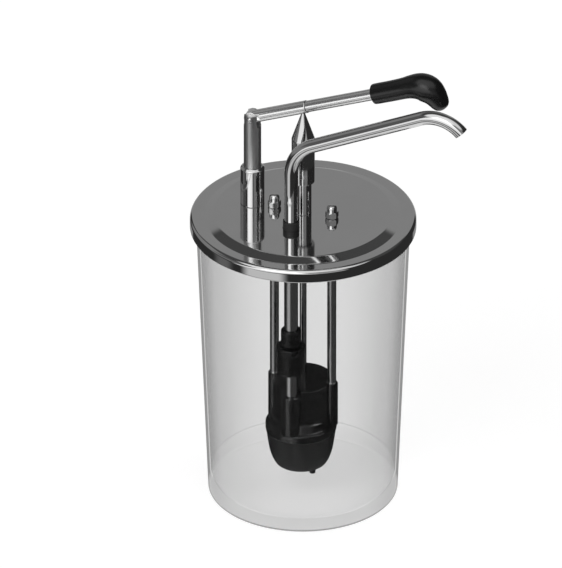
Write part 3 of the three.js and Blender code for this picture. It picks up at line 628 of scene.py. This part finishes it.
# The guide: a steel tube that stands on the lid's centre with a stud through it, a washer and a nut below,
# and a white bush inside that the piston rod slides in.
guide_low, guide_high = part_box("guide_tube")
guide_radius = guide_high.x
guide_wall = 1.1 * mm
bush_bore = 4.6 * mm
bush_seat = panel + 1.5 * mm
shape = turn([
    (bush_bore, guide_low.z),
    (guide_stud, guide_low.z, 0.5 * mm),
    (guide_stud, panel + seat_gap),
    (guide_radius, panel + seat_gap, 0.2 * mm),
    (guide_radius, guide_high.z, 0.4 * mm),
    (guide_radius - guide_wall, guide_high.z, 0.3 * mm),
    (guide_radius - guide_wall, bush_seat),
    (bush_bore, bush_seat),
], 96)
stand_in(piece(shape, "steel_guide", polished_steel), "guide_tube")
washer("guide_plate_washer", "guide_washer", guide_stud + run_gap)
plain_nut("guide_hexagon_nut", "guide_nut", 18 * mm, 1.1 * mm, guide_stud + run_gap)


def moulded_white(nodes):
    cloud = noise(nodes, 60, 3)
    return {
        "Base Color": shades(nodes, cloud, grey(0.74), grey(0.80)), "Roughness": 0.42 + cloud * 0.12,
        "Normal": bump(nodes, noise(nodes, 1800, 2), 0.004 * mm),
    }


white_plastic = finish("white_plastic", moulded_white)
bush_low, bush_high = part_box("guide_bush")
rod_radius = 3 * mm
bush_radius, bush_flange = 4.3 * mm, bush_high.x
shape = turn([
    (rod_radius + run_gap, bush_low.z, 0.3 * mm),
    (bush_radius, bush_low.z, 0.4 * mm),
    (bush_radius, bush_high.z - 1.5 * mm),
    (bush_flange, bush_high.z - 1.5 * mm, 0.2 * mm),
    (bush_flange, bush_high.z, 0.3 * mm),
    (rod_radius + run_gap, bush_high.z, 0.2 * mm),
], 64)
stand_in(piece(shape, "slide_bush", white_plastic), "guide_bush")


# The push cap: a turned steel cap with a pointed top that the lever's socket rests on. It slides over the
# guide and is screwed to the piston rod.
cap_low, cap_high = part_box("push_cap")
cap_radius = cap_high.x
cap_shoulder = panel + 72.5 * mm
cap_ceiling = cap_shoulder - 1 * mm
cap_bore = cap_radius - 2.4 * mm
rod_socket = cap_ceiling + 12 * mm
tip_radius = 1.2 * mm
shape = turn([
    (0, rod_socket),
    (rod_radius + run_gap, rod_socket),
    (rod_radius + run_gap, cap_ceiling, 0.3 * mm),
    (cap_bore, cap_ceiling, 0.5 * mm),
    (cap_bore, cap_low.z, 0.3 * mm),
    (cap_radius, cap_low.z, 0.4 * mm),
    (cap_radius, cap_shoulder, 0.35 * mm),
    (tip_radius, cap_high.z - 0.9 * mm, 0.3 * mm),
    (0.7 * tip_radius, cap_high.z - 0.2 * mm, 0.3 * mm),
    (0, cap_high.z),
], 128)
stand_in(piece(shape, "pointed_cap", polished_steel, 25), "push_cap", "plunger")


# The return spring: one steel wire wound round the piston rod, between the bush and the cap's ceiling.
spring_low, spring_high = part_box("return_spring")
wire_radius = 0.75 * mm
coil_radius = 4.6 * mm
spring_turns = 13
steps_in_turn = 32
end_turn_rise = 2.1 * mm
spring_height = spring_high.z - spring_low.z - 2 * wire_radius


def coil(shape, wire, turns, rise_in_turn):
    """Winds the wire's end on, and gives back its new end."""
    steps = round(turns * steps_in_turn)
    made = bmesh.ops.spin(shape, geom=wire, cent=(0, 0, 0), axis=(0, 0, 1), angle=2 * math.pi * turns,
                          steps=steps, dvec=(0, 0, rise_in_turn / steps_in_turn))
    return made["geom_last"]


shape = bmesh.new()
wire_start = Matrix.Translation((coil_radius, 0, spring_low.z + wire_radius))
section = wire_start @ Matrix.Rotation(math.pi / 2, 4, "X")
bmesh.ops.create_circle(shape, cap_ends=False, radius=wire_radius, segments=10, matrix=section)
first_end = shape.edges[:]
wire = coil(shape, shape.verts[:] + shape.edges[:], 1, end_turn_rise)
open_turns = spring_turns - 2
wire = coil(shape, wire, open_turns, (spring_height - 2 * end_turn_rise) / open_turns)
wire = coil(shape, wire, 1, end_turn_rise)
bmesh.ops.contextual_create(shape, geom=first_end)
bmesh.ops.contextual_create(shape, geom=[g for g in wire if isinstance(g, bmesh.types.BMEdge)])
bmesh.ops.recalc_face_normals(shape, faces=shape.faces[:])
wire_spring = stand_in(piece(shape, "wire_spring", satin_steel), "return_spring", "plunger")
cap_stroke = next(joint for joint in frame["joints"] if joint["name"] == "plunger_slide")["range_m"][1]
1 - cap_stroke / (spring_high.z - spring_low.z)
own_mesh(wire_spring)


# The lever's socket: a steel bar with a flat eye that turns on the pin. A slot in its underside takes the
# cap's point, and the lever's rod is pushed onto its spigot.
lever_rise = math.radians(22)
lever_place = Matrix.Translation(pivot) @ Matrix.Rotation(-lever_rise, 4, "Y")
z_to_x = Matrix.Rotation(math.pi / 2, 4, "Y")
socket_radius, socket_length = 5.5 * mm, 53.8 * mm
eye_radius, eye_width = 6.2 * mm, 9.1 * mm
spigot_radius, spigot_length = 3.2 * mm, 15 * mm
tongue_length = 9.5 * mm
tip_slot_start, tip_slot_end = 43.6 * mm, 51.4 * mm
tip_slot_width, tip_slot_depth = 5.4 * mm, 2.4 * mm


def bar_along_x(outline, name, material, steps=96):
    shape = turn(outline, steps)
    bmesh.ops.transform(shape, matrix=z_to_x, verts=shape.verts[:])
    return piece(shape, name, material)


lever_bar = bar_along_x([
    (0, 0),
    (socket_radius, 0),
    (socket_radius, socket_length, 0.35 * mm),
    (spigot_radius, socket_length),
    (spigot_radius, socket_length + spigot_length, 0.4 * mm),
    (0, socket_length + spigot_length),
], "lever_bar", lever_steel_painted_pale)
side_room = 2 * socket_radius
cut(lever_bar,
    block(-mm, tongue_length, eye_width / 2, side_room, -side_room, side_room),
    block(-mm, tongue_length, -side_room, -eye_width / 2, -side_room, side_room))
eye = piece(pin_along_y(eye_radius, eye_width, 0.3 * mm, 0, 0, 72), "eye", lever_steel_painted_pale)
cut(lever_bar, eye, operation="UNION")
cut(lever_bar,
    piece(pin_along_y(pin_radius + run_gap, 2 * eye_width, 0.1 * mm, 0, 0), "bore", polished_steel),
    block(tip_slot_start, tip_slot_end, -tip_slot_width / 2, tip_slot_width / 2,
          -socket_radius - 1.5 * mm, tip_slot_depth - socket_radius))
lever_bar.data.transform(lever_place)
soften(lever_bar, 0.25 * mm)
stand_in(lever_bar, "lever_socket", "lever")


# The lever's rod: a plain steel tube between the socket and the grip. The seam shows where it butts.
rod_start, rod_length, lever_rod_radius = socket_length + seat_gap, 96 * mm, 5 * mm
lever_tube = bar_along_x([
    (spigot_radius + run_gap, rod_start),
    (lever_rod_radius, rod_start, 0.35 * mm),
    (lever_rod_radius, rod_start + rod_length, 0.3 * mm),
    (spigot_radius + run_gap, rod_start + rod_length),
], "lever_tube", lever_steel_painted_pale)
lever_tube.data.transform(lever_place)
stand_in(lever_tube, "lever_rod", "lever")


# The grip: one moulding of black plastic pushed onto the rod. It swells towards its end and bends down to
# a rounded nose that the palm presses on.
def moulded_black(nodes, shade=0.004, dullness=0.18):
    cloud = noise(nodes, 45, 4)
    grain = noise(nodes, 2200, 3)
    return {
        "Base Color": shades(nodes, cloud, grey(shade), grey(shade * 1.6)),
        "Roughness": dullness + cloud * 0.10 + grain * 0.04, "IOR": 1.5,
        "Normal": bump(nodes, grain, 0.003 * mm),
    }


black_plastic = finish("black_plastic", moulded_black)
matt_black = finish("matt_black", lambda nodes: moulded_black(nodes, 0.010, 0.42))
grip_start, grip_length, grip_drop, grip_radius = 119.6 * mm, 58.5 * mm, 25.6 * mm, 12.1 * mm
# Shares along the grip, down its bend and of its radius
grip_shares = [
    (0, 0, 0.6), (0.012, 0, 0.68), (0.04, 0, 0.735), (0.3, 0, 0.745), (0.5, -0.01, 0.765),
    (0.62, -0.015, 0.83), (0.73, 0.01, 0.925), (0.81, 0.07, 0.985), (0.875, 0.18, 1), (0.92, 0.32, 0.95),
    (0.95, 0.48, 0.85), (0.968, 0.64, 0.75), (0.98, 0.78, 0.66), (0.987, 0.88, 0.55), (0.992, 0.95, 0.38),
    (0.995, 0.985, 0.18),
]
steps_between = 5


def smooth_line(points, steps):
    """A smooth line through the points, with so many steps between each two."""
    line = []
    for before, start, end, after in zip(points[:1] + points, points, points[1:], points[2:] + points[-1:]):
        for step in range(steps):
            share = step / steps
            line.append(start + (end - before) * share / 2
                        + (2 * before - 5 * start + 4 * end - after) * share ** 2 / 2
                        + (3 * start - before - 3 * end + after) * share ** 3 / 2)
    return line + points[-1:]


stations = smooth_line([Vector(shares) for shares in grip_shares], steps_between)
places = [Vector((grip_start + grip_length * share.x, 0, -grip_drop * share.y)) for share in stations]
shape = bmesh.new()
bmesh.ops.create_circle(shape, cap_ends=True, radius=1, segments=48)
end, = shape.faces[:]
ring = end.verts[:]
unit = [vert.co.copy() for vert in ring]
for number, (place, share) in enumerate(zip(places, stations)):
    if number:
        made = bmesh.ops.extrude_face_region(shape, geom=[end])
        end = next(g for g in made["geom"] if isinstance(g, bmesh.types.BMFace))
        ring = end.verts[:]
    before, after = places[max(number - 1, 0)], places[min(number + 1, len(places) - 1)]
    heading = (after - before).normalized().to_track_quat("Z", "Y").to_matrix()
    for vert, point in zip(ring, unit):
        vert.co = place + heading @ (point * grip_radius * share.z)
bmesh.ops.recalc_face_normals(shape, faces=shape.faces[:])
black_grip = piece(shape, "black_grip", black_plastic, 60)
rod_end = rod_start + rod_length + seat_gap
cut(black_grip, bar_along_x([(0, grip_start - mm), (lever_rod_radius + run_gap, grip_start - mm),
                             (lever_rod_radius + run_gap, rod_end), (0, rod_end)], "bore", black_plastic, 64))
black_grip.data.transform(lever_place)
stand_in(black_grip, "lever_grip", "lever")


# The spout: one steel tube. It rises through the lid, bends over to the right, runs on upwards and bends down
# at the outlet, where it is cut off square. A rubber grommet seals it in the lid.
def tube(start, radius, wall, runs):
    """A bent tube that starts upwards. A run is a straight length, or a bend's (radius, angle) towards +X."""
    bend_step = 2.5
    shape = bmesh.new()
    foot = Matrix.Translation(start)
    bmesh.ops.create_circle(shape, cap_ends=False, radius=radius, segments=64, matrix=foot)
    end, at, heading, axis = shape.edges[:], Vector(start), Vector((0, 0, 1)), Vector((0, 1, 0))
    for run in runs:
        verts = list({vert for edge in end for vert in edge.verts})
        if isinstance(run, tuple):
            bend_radius, angle = run
            centre = at - heading.cross(axis) * bend_radius
            steps = round(math.degrees(angle) / bend_step)
            swept = bmesh.ops.spin(shape, geom=verts + end, cent=centre, axis=axis, angle=angle, steps=steps)
            made = swept["geom_last"]
            turned = Matrix.Rotation(angle, 3, axis)
            at, heading = centre + turned @ (at - centre), turned @ heading
        else:
            made = bmesh.ops.extrude_edge_only(shape, edges=end)["geom"]
            verts = [g for g in made if isinstance(g, bmesh.types.BMVert)]
            bmesh.ops.translate(shape, verts=verts, vec=heading * run)
            at = at + heading * run
        end = [g for g in made if isinstance(g, bmesh.types.BMEdge)
               and all(abs((vert.co - at).dot(heading)) < 0.01 * mm for vert in g.verts)]
    bmesh.ops.recalc_face_normals(shape, faces=shape.faces[:])
    bmesh.ops.solidify(shape, geom=shape.faces[:], thickness=wall)
    bmesh.ops.recalc_face_normals(shape, faces=shape.faces[:])
    return shape


spout_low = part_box("spout_tube")[0]
spout_radius, spout_wall = 6 * mm, 1 * mm
spout_incline = math.radians(25.5)
lower_bend, tip_bend = 35 * mm, 32 * mm
lower_turn, tip_turn = math.pi / 2 - spout_incline, math.radians(72.5)
corner_height, arm_length = panel + 75.3 * mm, 130.5 * mm
set_back = lower_bend * math.tan(lower_turn / 2)
spout_pipe = piece(tube((0, riser_y, spout_low.z), spout_radius, spout_wall, [
    corner_height - set_back - spout_low.z,
    (lower_bend, lower_turn),
    arm_length - set_back,
    (tip_bend, tip_turn),
]), "spout_pipe", polished_steel, 50)
soften(spout_pipe, 0.15 * mm, 60)
stand_in(spout_pipe, "spout_tube")


def moulded_rubber(nodes):
    cloud = noise(nodes, 70, 4)
    return {
        "Base Color": shades(nodes, cloud, grey(0.012), grey(0.022)), "Roughness": 0.48 + cloud * 0.16,
        "Normal": bump(nodes, noise(nodes, 2600, 3), 0.008 * mm),
    }


black_rubber = finish("black_rubber", moulded_rubber)
grommet_low, grommet_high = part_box("spout_grommet")
grommet_flange = grommet_high.x
grommet_radius, grommet_bore = 7.05 * mm, spout_radius + run_gap
flange_top = grommet_low.z + 2.5 * mm
shape = turn([
    (grommet_bore, grommet_low.z, 0.3 * mm),
    (grommet_flange, grommet_low.z, 0.6 * mm),
    (grommet_flange, flange_top, 0.3 * mm),
    (spout_neck, flange_top),
    (spout_neck, panel),
    (grommet_radius, panel + 0.02 * mm),
    (grommet_radius, grommet_high.z, 0.35 * mm),
    (grommet_bore, grommet_high.z, 0.15 * mm),
], 72)
stand_in(piece(move(shape, 0, riser_y), "rubber_grommet", black_rubber), "spout_grommet")


# The coupling: a black body that joins the spout's foot to the pump's outlet pipe. A narrow gland on top
# holds the spout, and a rubber ring under the gland's shank seals it. Both are turned mouldings.
gland_low, gland_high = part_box("coupling_gland")
body_low, body_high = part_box("coupling_body")
gland_radius = gland_high.x
gland_shank = 7.6 * mm
shape = turn([
    (grommet_bore, gland_low.z, 0.2 * mm),
    (gland_shank, gland_low.z, 0.4 * mm),
    (gland_shank, body_high.z + seat_gap),
    (gland_radius, body_high.z + seat_gap, 0.3 * mm),
    (gland_radius, gland_high.z, 1.4 * mm),
    (grommet_bore, gland_high.z, 0.5 * mm),
], 72)
stand_in(piece(move(shape, 0, riser_y), "black_gland", black_plastic), "coupling_gland")

coupling_flange, coupling_radius = body_high.x, 11.5 * mm
flange_bottom = body_high.z - 5 * mm
foot_chamfer = 2.5 * mm
pipe_low, pipe_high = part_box("outlet_pipe")
pipe_radius, pipe_wall = pipe_high.x, 1 * mm
shape = turn([
    (pipe_radius + run_gap, body_low.z, 0.4 * mm),
    (coupling_radius - foot_chamfer, body_low.z, 0.6 * mm),
    (coupling_radius, body_low.z + foot_chamfer, 0.8 * mm),
    (coupling_radius, flange_bottom - (coupling_flange - coupling_radius), 0.5 * mm),
    (coupling_flange, flange_bottom, 0.5 * mm),
    (coupling_flange, body_high.z, 1.0 * mm),
    (gland_shank + run_gap, body_high.z, 0.3 * mm),
    (gland_shank + run_gap, spout_low.z - seat_gap),
    (pipe_radius - pipe_wall, spout_low.z - seat_gap),
    (pipe_radius - pipe_wall, pipe_high.z + seat_gap),
    (pipe_radius + run_gap, pipe_high.z + seat_gap),
], 96)
stand_in(piece(move(shape, 0, riser_y), "black_coupling", black_plastic), "coupling_body")


def rubber_ring(name, node, body="lid_assembly", steps=72):
    """A round rubber ring where the model's ring is, on the body that it moves with."""
    low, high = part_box(node)
    section = (high.z - low.z) / 2
    circle = (high.x - low.x) / 2 - section
    shape = bmesh.new()
    upright = Matrix.Translation((circle, 0, low.z + section)) @ Matrix.Rotation(math.pi / 2, 4, "X")
    bmesh.ops.create_circle(shape, cap_ends=False, radius=section, segments=16, matrix=upright)
    revolve(shape, steps)
    ring = piece(move(shape, (low.x + high.x) / 2, (low.y + high.y) / 2), name, black_rubber)
    return stand_in(ring, node, body)


rubber_ring("gland_ring", "coupling_seal")


# The outlet: a short steel pipe from the coupling down into the pump's boss, with a rubber ring round it.
# Below it a white cage keeps a steel ball on its seat, so that no sauce runs back.
shape = turn(band(pipe_radius - pipe_wall, pipe_radius, pipe_low.z, pipe_high.z, 0.15 * mm, 0.15 * mm), 72)
stand_in(piece(move(shape, 0, riser_y), "steel_pipe", polished_steel), "outlet_pipe")
rubber_ring("boss_ring", "outlet_seal")


def valve_cage(name, node, bore):
    """A flat white ring with three notches that let the sauce past the ball below it."""
    low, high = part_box(node)
    outer, y = (high.x - low.x) / 2, (low.y + high.y) / 2
    shape = turn(band(bore, outer, low.z, high.z, 0.1 * mm, 0.2 * mm), 48)
    cage = piece(move(shape, 0, y), name, white_plastic)
    notch_radius, notches = 1.2 * mm, 3
    for notch in range(notches):
        angle = 2 * math.pi * notch / notches
        notch_x, notch_y = bore * math.cos(angle), y + bore * math.sin(angle)
        cut(cage, drill(notch_radius, low.z - mm, high.z + mm, notch_x, notch_y))
    return stand_in(cage, node)


def valve_ball(name, node):
    low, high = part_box(node)
    shape = bmesh.new()
    bmesh.ops.create_uvsphere(shape, u_segments=40, v_segments=20, radius=(high.z - low.z) / 2,
                              matrix=Matrix.Translation(middle(node)))
    ball = piece(shape, name, polished_steel)
    return stand_in(ball, node, node)


valve_cage("white_outlet_cage", "outlet_cage", 3.1 * mm)
valve_ball("steel_outlet_ball", "outlet_ball")


# The tie rods: two steel bars that hang the pump from the lid. Each has a thinner threaded end above, where a
# polished dome nut draws it up against the lid, and one below in the pump's lug, where a small collar rests.
nut_flats, nut_hex_height, thread_top = 10 * mm, 6.2 * mm, 8.5 * mm
nut_dome, dome_rounding = 4.4 * mm, 3.2 * mm
tie_collar_reach, tie_collar_height = 0.6 * mm, 0.9 * mm
for side, x in (("left", -tie_x), ("right", tie_x)):
    low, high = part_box("tie_rod_" + side)
    tie_radius = (high.x - low.x) / 2
    tie_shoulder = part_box("pump_housing")[1].z + seat_gap
    under_lid = panel - sheet - seat_gap
    shape = turn([
        (0, low.z),
        (tie_stud, low.z, 0.3 * mm),
        (tie_stud, tie_shoulder),
        (tie_radius + tie_collar_reach, tie_shoulder, 0.2 * mm),
        (tie_radius + tie_collar_reach, tie_shoulder + tie_collar_height, 0.4 * mm),
        (tie_radius, tie_shoulder + tie_collar_height),
        (tie_radius, under_lid, 0.3 * mm),
        (tie_stud, under_lid),
        (tie_stud, high.z, 0.4 * mm),
        (0, high.z),
    ], 64)
    steel_tie = piece(move(shape, x, 0), "steel_tie_" + side, satin_steel)
    stand_in(steel_tie, "tie_rod_" + side)

    low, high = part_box("dome_nut_" + side)
    hex_top, hex_chamfer = panel + nut_hex_height, 0.8 * mm
    nut = hexagon(nut_flats, low.z, hex_top, hex_chamfer, "polished_dome_nut_" + side, polished_steel, 0)
    dome = turn([
        (0, low.z + mm),
        (nut_dome, low.z + mm),
        (nut_dome, high.z, dome_rounding),
        (0, high.z),
    ], 72)
    cut(nut, piece(dome, "dome", polished_steel), operation="UNION")
    cut(nut, drill(tie_stud + run_gap, low.z - mm, panel + thread_top))
    nut.data.transform(Matrix.Translation((x, 0, 0)))
    stand_in(nut, "dome_nut_" + side)


# The pump housing: one black moulding. A cylinder for the piston carries two lugs for the tie rods, a boss
# for the outlet pipe at the front and a flared collar at its foot, and has a spigot that fits in the base.
def wet_look(nodes):
    return {**moulded_black(nodes), "Coat Weight": 1.0, "Coat Roughness": 0.07, "Coat IOR": 1.6}


def ball_seat(node, bore):
    """The height of the bore's edge that a valve's ball rests on."""
    low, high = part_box(node)
    radius = (high.z - low.z) / 2
    return low.z + radius - math.sqrt(radius ** 2 - bore ** 2) - seat_gap


glossy_black = finish("glossy_black", wet_look)
housing_low, housing_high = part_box("pump_housing")
base_low, base_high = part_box("pump_base")
cover_low, cover_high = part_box("pump_cover")
collar_bottom = base_high.z + seat_gap
collar_height, flare_height = 6.5 * mm, 8 * mm
collar_top, flare_top = collar_bottom + collar_height, collar_bottom + collar_height + flare_height
flare_knee_share, flare_knee_height = 0.62, 1.7 * mm
body_radius, piston_bore, spigot_radius = cover_high.x, 19 * mm, 22 * mm
base_top_share = 0.985
collar_radius = base_high.x / base_top_share
collar_shift = body_radius - collar_radius
housing_top = cover_low.z - seat_gap
lug_radius, lug_top = 5.4 * mm, housing_high.z
boss_radius, boss_foot, boss_top = 8.2 * mm, 3.95 * mm, cover_high.z - 1.6 * mm
pump_body = piece(turn([
    (0, housing_low.z),
    (spigot_radius, housing_low.z, 0.4 * mm),
    (spigot_radius, collar_bottom + mm),
    (body_radius, collar_bottom + mm),
    (body_radius, housing_top, 0.3 * mm),
    (0, housing_top),
], 128), "black_housing", glossy_black)
collar = turn([
    (0, collar_bottom),
    (collar_radius, collar_bottom, 0.7 * mm),
    (collar_radius, collar_top, 0.9 * mm),
    (collar_radius + collar_shift * flare_knee_share, collar_top + flare_knee_height, 0.8 * mm),
    (body_radius, flare_top, 1.6 * mm),
    (body_radius - 2 * mm, flare_top + mm),
    (0, flare_top + mm),
], 128)
boss = turn([
    (0, collar_bottom),
    (boss_foot, collar_bottom, 0.4 * mm),
    (boss_radius, collar_top, 1.2 * mm),
    (boss_radius, boss_top, 0.9 * mm),
    (0, boss_top),
], 96)
cut(pump_body,
    piece(move(collar, 0, collar_shift), "collar", black_plastic),
    piece(move(boss, 0, riser_y), "boss", black_plastic),
    operation="UNION")
for x in (-tie_x, tie_x):
    lug = turn([(0, collar_top), (lug_radius, collar_top), (lug_radius, lug_top, 0.5 * mm), (0, lug_top)], 72)
    cut(pump_body, piece(move(lug, x, 0), "lug", black_plastic), operation="UNION")
port_radius, port_height = 2.5 * mm, collar_bottom + 4.6 * mm
port = turn([(0, 0), (port_radius, 0), (port_radius, -riser_y), (0, -riser_y)], 32)
bmesh.ops.transform(port, verts=port.verts[:],
                    matrix=Matrix.Translation((0, 0, port_height)) @ Matrix.Rotation(math.pi / 2, 4, "X"))
outlet_ring_low, outlet_ring_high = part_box("outlet_seal")
ring_room = 0.05 * mm
cage_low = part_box("outlet_cage")[0].z - seat_gap
outlet_seat_radius, outlet_chamber_radius = 2.8 * mm, 4.8 * mm
outlet_seat = ball_seat("outlet_ball", outlet_seat_radius)
cut(pump_body,
    drill(piston_bore, housing_low.z - mm, housing_top + mm),
    drill(tie_stud + run_gap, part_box("tie_rod_left")[0].z - seat_gap, lug_top + mm, -tie_x),
    drill(tie_stud + run_gap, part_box("tie_rod_right")[0].z - seat_gap, lug_top + mm, tie_x),
    drill(pipe_radius + run_gap, cage_low, boss_top + mm, 0, riser_y),
    drill(outlet_ring_high.x + ring_room, outlet_ring_low.z - ring_room, outlet_ring_high.z + ring_room,
          0, riser_y),
    drill(outlet_chamber_radius, outlet_seat, cage_low + mm, 0, riser_y),
    drill(outlet_seat_radius, port_height, outlet_seat + mm, 0, riser_y),
    piece(port, "port", black_plastic))
stand_in(pump_body, "pump_housing")


# The pump's cover: a black disc that closes the cylinder round the piston rod. It is cut out for the lugs and
# the boss, and a rim below centres it in the bore.
cover_rim = piston_bore - run_gap
cover_bore = rod_radius + run_gap
rim_wall, rim_bottom = 3 * mm, housing_top - 1.5 * mm
black_cover = piece(turn([
    (cover_bore, cover_low.z),
    (cover_rim - rim_wall, cover_low.z),
    (cover_rim - rim_wall, rim_bottom, 0.2 * mm),
    (cover_rim, rim_bottom, 0.2 * mm),
    (cover_rim, cover_low.z),
    (body_radius, cover_low.z, 0.3 * mm),
    (body_radius, cover_high.z, 0.6 * mm),
    (cover_bore, cover_high.z, 0.4 * mm),
], 128), "black_cover", glossy_black)
cut(black_cover,
    drill(lug_radius + run_gap, cover_low.z - mm, cover_high.z + mm, -tie_x),
    drill(lug_radius + run_gap, cover_low.z - mm, cover_high.z + mm, tie_x),
    drill(boss_radius + run_gap, cover_low.z - mm, cover_high.z + mm, 0, riser_y))
stand_in(black_cover, "pump_cover")


# The pump's base: a black tapered cap with a wide suction opening below and three small feet that keep it off
# the container's floor. Inside it the inlet's steel ball sits under a white cage, and a flat ring seals it.
inlet_cage_low, inlet_cage_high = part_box("inlet_cage")
inlet_seat_radius, inlet_chamber_radius, inlet_seat_wall = 3.2 * mm, 6 * mm, 3 * mm
inlet_seat = ball_seat("inlet_ball", inlet_seat_radius)
foot_height, small_foot_radius = 4.5 * mm, 2.66 * mm
foot_count, foot_circle, foot_turn = 3, 17.8 * mm, math.radians(-35.6)
base_bottom = base_low.z + foot_height
base_height = base_high.z - base_bottom
suction_radius = 14.5 * mm
seal_low, seal_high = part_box("base_seal")
# Shares of the collar's radius, and of the height from the top, with each corner's rounding in millimetres
base_shares = [
    (0.72, 1, 0.6), (0.757, 0.95, 0.7), (0.815, 0.84, 1.6),
    (0.89, 0.62, 3), (0.955, 0.22, 3), (base_top_share, 0, 0.8),
]
shape = turn([(0, base_bottom)] + [
    (collar_radius * share, base_high.z - base_height * depth, rounding * mm)
    for share, depth, rounding in base_shares
] + [(0, base_high.z)], 128)
black_base = piece(move(shape, 0, collar_shift), "black_base", matt_black)
for number in range(foot_count):
    angle = foot_turn + 2 * math.pi * number / foot_count
    foot = turn([(0, base_low.z), (small_foot_radius, base_low.z, 0.5 * mm),
                 (small_foot_radius, base_bottom + mm), (0, base_bottom + mm)], 40)
    move(foot, foot_circle * math.cos(angle), foot_circle * math.sin(angle) + collar_shift)
    cut(black_base, piece(foot, "foot", black_plastic), operation="UNION")
cut(black_base,
    drill(spigot_radius + run_gap, seal_low.z - seat_gap, base_high.z + mm),
    drill(inlet_cage_high.x + run_gap, inlet_cage_low.z - seat_gap, seal_low.z),
    drill(inlet_chamber_radius, inlet_seat, inlet_cage_low.z + mm),
    drill(inlet_seat_radius, base_bottom, inlet_seat + mm),
    drill(suction_radius, base_bottom - mm, inlet_seat - inlet_seat_wall, 0, collar_shift))
stand_in(black_base, "pump_base")

shape = turn(band(piston_bore, seal_high.x, seal_low.z, seal_high.z, 0.2 * mm, 0.2 * mm), 96)
stand_in(piece(shape, "flat_ring", black_rubber), "base_seal")
valve_cage("white_inlet_cage", "inlet_cage", 3.4 * mm)
valve_ball("steel_inlet_ball", "inlet_ball")


# The piston: a white disc with two rubber rings in its grooves, held on the rod's stud by a nut. The rod is a
# steel bar that runs up through the lid's guide into the push cap.
piston_low, piston_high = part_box("piston")
piston_radius = piston_high.x
stud_radius = 2.4 * mm
groove_depth, groove_width = 2.1 * mm, 2.3 * mm
land = (piston_high.z - piston_low.z - 2 * groove_width) / 3
groove_floor = piston_radius - groove_depth
outline = [(stud_radius + run_gap, piston_low.z), (piston_radius, piston_low.z, 0.3 * mm)]
for groove_low in (piston_low.z + land, piston_low.z + 2 * land + groove_width):
    groove_high = groove_low + groove_width
    outline += [(piston_radius, groove_low, 0.1 * mm), (groove_floor, groove_low, 0.2 * mm),
                (groove_floor, groove_high, 0.2 * mm), (piston_radius, groove_high, 0.1 * mm)]
outline += [(piston_radius, piston_high.z, 0.3 * mm), (stud_radius + run_gap, piston_high.z)]
shape = turn(outline, 96)
stand_in(piece(shape, "white_piston", white_plastic), "piston", "plunger")
rubber_ring("lower_piston_ring", "piston_seal_lower", "plunger", 96)
rubber_ring("upper_piston_ring", "piston_seal_upper", "plunger", 96)

rod_low, rod_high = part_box("piston_rod")
rod_shoulder = piston_high.z + seat_gap
shape = turn([
    (0, rod_low.z),
    (stud_radius, rod_low.z, 0.4 * mm),
    (stud_radius, rod_shoulder),
    (rod_radius, rod_shoulder, 0.2 * mm),
    (rod_radius, rod_high.z, 0.4 * mm),
    (0, rod_high.z),
], 64)
stand_in(piece(shape, "steel_piston_rod", polished_steel), "piston_rod", "plunger")
plain_nut("piston_hexagon_nut", "piston_nut", 8 * mm, 0.6 * mm, stud_radius + run_gap, body="plunger")
